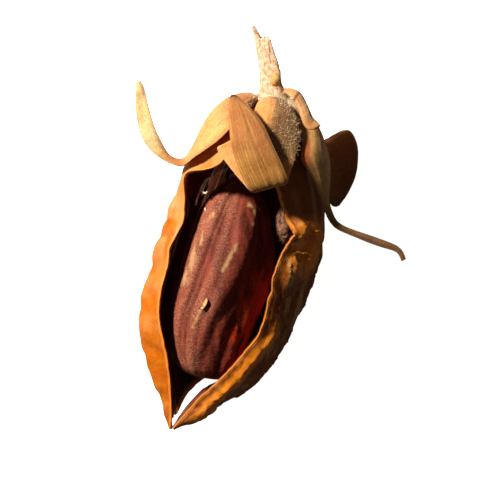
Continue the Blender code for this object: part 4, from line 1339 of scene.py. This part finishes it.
def hair_tree():
    """Geometry nodes that grow short tapering hairs out of a surface where its mask allows them."""
    tree, given = geometry_tree("Short hairs", {
        "Per Square Metre": "Float", "Length": "Float", "Root Radius": "Float", "Lean": "Float",
        "Mask": "String", "Seed": "Int",
    })
    mask = add(tree, "GeometryNodeInputNamedAttribute", {"Name": given["Mask"]}, data_type="FLOAT")
    density = calculate(tree, "MULTIPLY", given["Per Square Metre"], mask.outputs[0])
    roots = add(tree, "GeometryNodeDistributePointsOnFaces", {
        "Mesh": given["Geometry"], "Density": density, "Seed": given["Seed"],
    })
    hair = add(tree, "GeometryNodeMeshCone", {
        "Vertices": 3, "Radius Top": 0.0, "Radius Bottom": given["Root Radius"], "Depth": given["Length"],
    })
    ways = {0: (-1.0, -1.0, 0.0), 1: (1.0, 1.0, 1.0), "Seed": given["Seed"]}
    lean = add(tree, "FunctionNodeRandomValue", ways, data_type="FLOAT_VECTOR")
    angles = add(tree, "ShaderNodeVectorMath", {0: lean.outputs[0], 3: given["Lean"]}, operation="SCALE")
    turned = add(tree, "FunctionNodeRotateRotation", {
        "Rotation": roots.outputs["Rotation"], "Rotate By": angles.outputs[0],
    }, rotation_space="LOCAL")
    spread = {2: HAIR_SIZES[0], 3: HAIR_SIZES[1], "Seed": given["Seed"]}
    sizes = add(tree, "FunctionNodeRandomValue", spread, data_type="FLOAT")
    grown = add(tree, "GeometryNodeInstanceOnPoints", {
        "Points": roots.outputs["Points"], "Instance": hair.outputs["Mesh"],
        "Rotation": turned.outputs[0], "Scale": sizes.outputs[1],
    })
    return ended(tree, grown.outputs[0], given["Finish"])


def grown_on(host, name, tree, values):
    """A plain mesh from a node tree run on a host object, with its named inputs set."""
    work = host.copy()
    bpy.context.scene.collection.objects.link(work)
    work.parent = None
    modifier = work.modifiers.new("Growth", "NODES")
    modifier.node_group = tree
    for item in tree.interface.items_tree:
        if item.item_type == "SOCKET" and item.name in values:
            modifier[item.identifier] = values[item.name]
    bpy.context.view_layer.update()
    mesh = bpy.data.meshes.new_from_object(work.evaluated_get(bpy.context.evaluated_depsgraph_get()))
    work.modifiers.remove(modifier)
    bpy.data.objects.remove(work)
    if len(mesh.polygons) == 0:
        raise RuntimeError(f"{name} has no faces")
    return linked(name, mesh)


def hair_coat(host, name, settings, mask, seed, finish, lean=1.0):
    """Short hairs on a piece where this attribute lets them grow."""
    hairs = bpy.data.node_groups.get("Short hairs") or hair_tree()
    return grown_on(host, name, hairs, {
        "Per Square Metre": settings.hairs / MM**2, "Length": settings.hair_length,
        "Root Radius": settings.hair_radius, "Lean": lean, "Mask": mask, "Seed": seed, "Finish": finish,
    })


def path_object(name, paths):
    """Curves through the listed points, as one curve object that fibres are made along."""
    curve = bpy.data.curves.new(name, "CURVE")
    curve.dimensions = "3D"
    for path in paths:
        line = spline(path)(np.linspace(0, 1, 8 * len(path)))
        line = line + 0.05 * np.stack([noise(line, 0.35, 90 + n) for n in range(3)], -1)
        run = curve.splines.new("POLY")
        run.points.add(len(line) - 1)
        for n, (point, where) in enumerate(zip(run.points, line)):
            point.co = (*((where + CENTRING) * MM), 1.0)
            point.radius = 0.35 + 0.65 * math.sin(math.pi * (n + 1) / (len(line) + 1))
    return linked(name, curve)


def colour_setting(name, description, red, green, blue):
    return FloatVectorProperty(
        name=name, description=description, subtype="COLOR", min=0.0, max=1.0, default=srgb(red, green, blue)
    )


def number_setting(name, description, default, **more):
    return FloatProperty(name=name, description=description, default=default, min=0.0, **more)


def length_setting(name, description, millimetres):
    return FloatProperty(
        name=name, description=description, unit="LENGTH", precision=5, min=0.0, default=millimetres * MM
    )


class HuskSettings(bpy.types.PropertyGroup):
    wall: length_setting("Wall", "Thickness of the husk's wall", 0.50)
    edge_wall: length_setting("Edge", "Thickness of the wall at its split edges", 0.22)
    relief: number_setting("Relief", "Depth of the dents and wrinkles", 1.0)
    roughness: number_setting("Roughness", "Roughness of the skin", 0.42, max=1.0)
    sunny_colour: colour_setting("Left", "Skin of the left valve", 208, 108, 2)
    # The right and back valves take a darker copy of the skin: partly their own browner tone, partly painted
    # shade.
    shaded_brown_colour: colour_setting("Right", "Skin of the right and back valves", 142, 74, 18)
    # Pale peach patches, paler towards the stalk: partly the skin's own tone, partly painted highlight of the
    # waxy skin.
    pale_patch_and_highlight_colour: colour_setting("Crests", "Pale worn skin on the raised stretches", 232, 170, 104)
    edge_colour: colour_setting("Torn edge", "Flesh that shows along the split edges", 240, 142, 56)
    left_inside: colour_setting("Left inside", "Lining of the left valve", 160, 60, 20)
    # The right and back linings are darker than the left: the lining's own dark brown with painted shade
    # added.
    shaded_right_inside: colour_setting("Right inside", "Lining of the right valve", 116, 42, 14)
    shaded_back_inside: colour_setting("Back inside", "Lining of the back valve", 66, 26, 12)
    flank_colour: colour_setting("Flank", "Olive streaks on the right valve's flank", 206, 158, 84)
    # Bright orange on the crumpled patch and the raised band by the split edge: partly the skin's colour,
    # partly painted light.
    crumple_and_lit_band_colour: colour_setting("Crumple", "Crumpled and raised skin of the right valve", 222, 126, 24)
    lining_colour: colour_setting("Loose lining", "Lining that has come loose", 96, 76, 48)
    # The strands are paler than their own colour, as painted light, so that they show in the shade.
    painted_lit_strand_colour: colour_setting("Strands", "Fibres of the wall between the chambers", 244, 214, 184)


class SeedSettings(bpy.types.PropertyGroup):
    groove: number_setting("Grooves", "Depth of the grooves, as a share", 1.0)
    grain: length_setting("Grain", "Height of the grains on the skin", 0.022)
    skin_colour: colour_setting("Skin", "Seed skin", 128, 46, 30)
    dark_colour: colour_setting("Dark skin", "Seed skin in its dark stretches", 90, 22, 10)
    # Painted reflection: red skin on the seed's right side that stands in for the right valve's light thrown
    # back onto it.
    painted_bounce_colour: colour_setting("Glow", "Seed skin where the right valve throws its light back", 226, 70, 22)
    dust_colour: colour_setting("Dust", "Granular dust on the skin", 206, 136, 100)
    # The notch's dark flesh is partly real and partly painted shadow of the flake beside it.
    notch_and_shadow_colour: colour_setting("Notch", "Flesh in the notch of the skin", 96, 36, 14)
    tan_colour: colour_setting("Membrane", "Scraps of dried membrane", 216, 170, 112)
    ovule_colour: colour_setting("Ovule", "The shrunken ovule", 122, 86, 62)


class SepalSettings(bpy.types.PropertyGroup):
    thickness: length_setting("Thickness", "Thickness of a sepal's blade", 0.28)
    vein_height: length_setting("Veins", "Height of the lengthwise veins", 0.030)
    hair_length: length_setting("Hair", "Length of the hairs", 0.38)
    hair_radius: length_setting("Hair root", "Radius of a hair at its root", 0.011)
    hairs: IntProperty(name="Hairs", description="Hairs on a square millimetre of felt", min=0, default=60)
    gold: colour_setting("Gold", "Sunlit dry sepal", 222, 160, 92)
    cream: colour_setting("Cream", "Bleached tails", 255, 228, 164)
    pink: colour_setting("Pink", "Sepal near its root", 206, 152, 100)
    brown: colour_setting("Brown", "Pinkish brown flap", 180, 116, 62)
    olive: colour_setting("Olive", "Olive sepal", 150, 106, 42)
    grey: colour_setting("Grey", "Grey felt and streaks", 188, 166, 128)
    rust: colour_setting("Rust", "Rust-brown sepal behind", 198, 122, 66)
    dark: colour_setting("Dark", "Dark tips and shaded stretches", 118, 76, 36)
    fold: colour_setting("Fold", "Front sepal where it turns back", 170, 112, 34)
    flap: colour_setting("Flap", "Front sepal's turned-back half, beside the fold", 166, 112, 42)
    straw: colour_setting("Straw", "Streaks of the turned-back half", 226, 172, 84)
    felted: colour_setting("Felted", "Skin under the front sepal's hairs", 122, 84, 48)
    burnt: colour_setting("Burnt", "The front sepal's tip", 70, 30, 20)
    light_olive: colour_setting("Light olive", "Right sepal near its root", 206, 158, 84)
    warm_olive: colour_setting("Warm olive", "Right sepal where it bulges", 196, 148, 76)
    # An orange-brown patch that is partly the sepal's own colour, partly painted light.
    rust_patch_and_painted_light: colour_setting("Rusty patch", "Patch at the right sepal's margin", 200, 104, 48)
    lip_shade: colour_setting("Lip", "Shadow under the short sepal's curled lip", 96, 50, 28)
    grey_streak: colour_setting("Grey streak", "Streak on the short sepal", 120, 98, 60)
    # Painted sunlight: a bright rust on the back right sepal's upper stretch.
    painted_sunlight_rust: colour_setting("Sunlit rust", "Back right sepal where it is in the light", 250, 166, 88)
    hair_colour: colour_setting("Hair colour", "Hairs of the felt", 240, 216, 172)


class StalkSettings(bpy.types.PropertyGroup):
    fibre_height: length_setting("Fibres", "Height of the fibres along the stalk", 0.075)
    bark: colour_setting("Stalk", "Dry stalk", 240, 206, 168)
    leaf: colour_setting("Scale leaf", "The small scale leaf", 220, 176, 112)
    hair_length: length_setting("Hair", "Length of the receptacle's hairs", 0.304)
    hair_radius: length_setting("Hair root", "Radius of a hair at its root", 0.011)
    hairs: IntProperty(name="Hairs", description="Hairs on a square millimetre", min=0, default=50)


class StageSettings(bpy.types.PropertyGroup):
    key_power: number_setting("Key light", "Power of the key light", 2.5, unit="POWER")
    key_size: number_setting("Key size", "Width of the key light", 0.05, unit="LENGTH")
    fill: number_setting("Fill", "Strength of the light from all round", 0.07)
    key_azimuth: number_setting(
        "Azimuth", "Where the key light stands round the fruit", math.radians(140), subtype="ANGLE"
    )
    key_elevation: number_setting(
        "Elevation", "How high the key light stands", math.radians(34), subtype="ANGLE"
    )
    floor_colour: colour_setting("Floor", "The floor", 250, 249, 247)


def reported(operator, made):
    operator.report({"INFO"}, f"Made {made}")
    return {"FINISHED"}


class JOJOBA_OT_husk(bpy.types.Operator):
    """Builds the three valves of the husk, with the loose lining of the left one"""

    bl_idname = "jojoba.husk"
    bl_label = "Husk"

    def execute(self, context):
        tone = context.scene.jojoba_husk
        # The crumpled patch and raised band take a bright orange that is partly painted light.
        extra = [
            ("flank", tone.flank_colour, 0.5, 0.5, 0.5), ("crumple", tone.crumple_and_lit_band_colour, 0.95, 0.6, 0.3),
        ]
        valves = {
            "valve_left": (left_relief, "husk_orange", tone.sunny_colour, tone.left_inside, 0.5, []),
            # The right valve and the back valve wear the darker copy of the skin, partly painted shade.
            "valve_right": (right_relief, "husk_shaded_brown", tone.shaded_brown_colour, tone.shaded_right_inside, 0.0, extra),
            # The back valve's lining is darkened as painted shade.
            "valve_back": (back_relief, "husk_under", tone.shaded_brown_colour, tone.shaded_back_inside, 0.0, []),
        }
        for seed, (node, (relief, name, outside, inside, pale_patches_and_highlights, layers)) in enumerate(valves.items(), 30):
            finish = husk_material(name, outside, inside, tone, pale_patches_and_highlights, layers)
            put_in_frame(husk_piece(node, relief, tone, seed), finish, "husk", node)
        put_in_frame(lining_piece(), dry_material("loose_lining", tone.lining_colour), "husk")
        return reported(self, "the husk")


class JOJOBA_OT_seed(bpy.types.Operator):
    """Builds the seed with its grooves, dust and torn skin"""

    bl_idname = "jojoba.seed"
    bl_label = "Seed"

    def execute(self, context):
        settings = context.scene.jojoba_seed
        put_in_frame(seed_piece(settings), seed_material(settings), "seed", "seed")
        put_in_frame(seed_flake(), dry_material("skin_scrap", settings.tan_colour), "seed")
        return reported(self, "the seed")


class JOJOBA_OT_ovule(bpy.types.Operator):
    """Builds the cracked, shrunken ovule and the fibres of the wall between the chambers"""

    bl_idname = "jojoba.ovule"
    bl_label = "Ovule and Fibres"

    def execute(self, context):
        crust = dry_material("ovule_crust", context.scene.jojoba_seed.ovule_colour)
        put_in_frame(ovule_piece(), crust, "ovule", "shrivelled_ovule")
        # The strands' pale colour is partly painted light.
        pale = dry_material("septum_fibre", context.scene.jojoba_husk.painted_lit_strand_colour)
        guide = path_object("strand_paths", SEPTUM_STRANDS)
        shape = {"Thickness": STRAND_THICKNESS * MM, "Sides": STRAND_SIDES, "Finish": pale}
        strands = grown_on(guide, "septum_strands", fibre_tree(), shape)
        bpy.data.objects.remove(guide)
        strands.data.shade_smooth()
        put_in_frame(strands, None, "husk")
        return reported(self, "the ovule and the fibres")


class JOJOBA_OT_sepals(bpy.types.Operator):
    """Builds the six sepals, each over its solid"""

    bl_idname = "jojoba.sepals"
    bl_label = "Sepals"

    def execute(self, context):
        tone = context.scene.jojoba_sepals
        sheets = husk_sheets()
        felt = dry_material("sepal_hair", tone.hair_colour)
        for n, (node, (slot, name, stops, streaks, amount, layers)) in enumerate(SEPAL_FINISHES.items()):
            stops = [(share, getattr(tone, colour)) for share, colour in stops]
            layers = [(mask, getattr(tone, colour), *how) for mask, colour, *how in layers]
            finish = sepal_material(name, stops, getattr(tone, streaks), amount, layers)
            blade = sepal_piece(node, sheets, tone, 100 + 10 * n)
            put_in_frame(blade, finish, slot, node)
            mask = "felt" if node == "sepal_front" else "root"
            put_in_frame(hair_coat(blade, f"{node}_hairs", tone, mask, n, felt), None, slot)
        return reported(self, "the sepals")


class JOJOBA_OT_stalk(bpy.types.Operator):
    """Builds the stalk with its receptacle, its splinter and its scale leaf"""

    bl_idname = "jojoba.stalk"
    bl_label = "Stalk"

    def execute(self, context):
        settings = context.scene.jojoba_stalk
        bark = dry_material("stalk_bark", settings.bark)
        leaf = dry_material("scale_leaf_skin", settings.leaf)
        hair = dry_material("stalk_hair", settings.bark)
        stem = stem_piece(settings)
        put_in_frame(stem, bark, "stalk", "stalk")
        put_in_frame(rod_piece("stem_splinter", SPLINTER_PATH, 0.8, 0.05, 73), bark, "stalk")
        put_in_frame(rod_piece("scale_leaf", SCALE_LEAF_PATH, 0.85, 0.02, 74), leaf, "stalk")
        coat = hair_coat(stem, "receptacle_hairs", settings, "receptacle", 9, hair, lean=1.1)
        put_in_frame(coat, None, "stalk")
        return reported(self, "the stalk")


class JOJOBA_OT_stage(bpy.types.Operator):
    """Sets the pale floor, the studio light and the camera that looks down on the fruit"""

    bl_idname = "jojoba.stage"
    bl_label = "Stage"

    def execute(self, context):
        settings = context.scene.jojoba_stage
        scene = context.scene
        place_floor(settings)
        light_fruit(scene, settings)
        aim_camera(scene)
        scene.view_settings.view_transform = "Standard"
        return reported(self, "the stage")


def place_floor(settings):
    """A wide pale floor that shows almost evenly bright."""
    bpy.ops.mesh.primitive_circle_add(vertices=96, radius=FLOOR_RADIUS, fill_type="NGON", location=(0, 0, 0))
    floor = bpy.context.active_object
    floor.name = "floor"
    floor.data.transform(floor.matrix_world)
    floor.data.materials.append(floor_material(settings))


def floor_material(settings):
    """Matt pale floor: it looks bright to the camera and throws back little light on the fruit."""
    made = bpy.data.materials.new("studio_floor")
    made.use_nodes = True
    tree = made.node_tree
    shader = tree.nodes["Principled BSDF"]
    shader.inputs["Roughness"].default_value = 0.9
    shader.inputs["Emission Color"].default_value = (*settings.floor_colour, 1.0)
    seen = add(tree, "ShaderNodeLightPath").outputs["Is Camera Ray"]
    tree.links.new(blend(tree, seen, FLOOR_BOUNCE, tuple(settings.floor_colour)), shader.inputs["Base Color"])
    tree.links.new(calculate(tree, "MULTIPLY", seen, FLOOR_GLOW), shader.inputs["Emission Strength"])
    return made


def light_fruit(scene, settings):
    """A key light low on the left, and a weak even light from all round."""
    azimuth, elevation = settings.key_azimuth, settings.key_elevation
    flat = math.cos(elevation)
    way = Vector((flat * math.cos(azimuth), flat * math.sin(azimuth), math.sin(elevation)))
    lamp = bpy.data.lights.new("key_light", "AREA")
    lamp.shape = "DISK"
    lamp.size = settings.key_size
    lamp.energy = settings.key_power
    lamp.color = KEY_TINT
    key = linked("key_light", lamp)
    key.location = way * KEY_DISTANCE + Vector((0.0, 0.0, AIM_HEIGHT))
    key.rotation_euler = way.to_track_quat("Z", "Y").to_euler()
    world = bpy.data.worlds.new("studio")
    world.use_nodes = True
    tree = world.node_tree
    background = tree.nodes["Background"]
    seen = add(tree, "ShaderNodeLightPath").outputs["Is Camera Ray"]
    level = add(tree, "ShaderNodeMapRange", {"Value": seen, "To Min": settings.fill, "To Max": 0.9})
    background.inputs["Color"].default_value = (*settings.floor_colour, 1.0)
    tree.links.new(level.outputs[0], background.inputs["Strength"])
    scene.world = world


def aim_camera(scene):
    """A long lens straight above, with the stalk's end of the fruit at the top of the picture."""
    lens = bpy.data.cameras.new("camera")
    lens.sensor_width = SENSOR_WIDTH
    lens.lens = SENSOR_WIDTH * CAMERA_DISTANCE / FRAME_WIDTH
    lens.clip_start = 0.01
    camera = linked("camera", lens)
    camera.location = (*FRAME_MIDDLE, AIM_HEIGHT + CAMERA_DISTANCE)
    scene.camera = camera


OPERATORS = (
    JOJOBA_OT_husk, JOJOBA_OT_seed, JOJOBA_OT_ovule, JOJOBA_OT_sepals, JOJOBA_OT_stalk, JOJOBA_OT_stage,
)
SETTINGS = {
    "jojoba_husk": HuskSettings,
    "jojoba_seed": SeedSettings,
    "jojoba_sepals": SepalSettings,
    "jojoba_stalk": StalkSettings,
    "jojoba_stage": StageSettings,
}


class JOJOBA_PT_fruit(bpy.types.Panel):
    bl_idname = "JOJOBA_PT_fruit"
    bl_label = "Jojoba Fruit"
    bl_space_type = "VIEW_3D"
    bl_region_type = "UI"
    bl_category = "Jojoba"

    def draw(self, context):
        for operator in OPERATORS:
            self.layout.operator(operator.bl_idname)
        for label, group in SETTINGS.items():
            box = self.layout.box()
            for name in group.__annotations__:
                box.prop(getattr(context.scene, label), name)


def register():
    for made in (*SETTINGS.values(), *OPERATORS, JOJOBA_PT_fruit):
        bpy.utils.register_class(made)
    for label, group in SETTINGS.items():
        setattr(bpy.types.Scene, label, PointerProperty(type=group))


def unregister():
    for label in SETTINGS:
        delattr(bpy.types.Scene, label)
    for made in (JOJOBA_PT_fruit, *OPERATORS, *SETTINGS.values()):
        bpy.utils.unregister_class(made)


def main():
    register()
    bpy.ops.jojoba.husk()
    bpy.ops.jojoba.seed()
    bpy.ops.jojoba.ovule()
    bpy.ops.jojoba.sepals()
    bpy.ops.jojoba.stalk()
    bpy.ops.jojoba.stage()


if __name__ == "__main__":
    main()
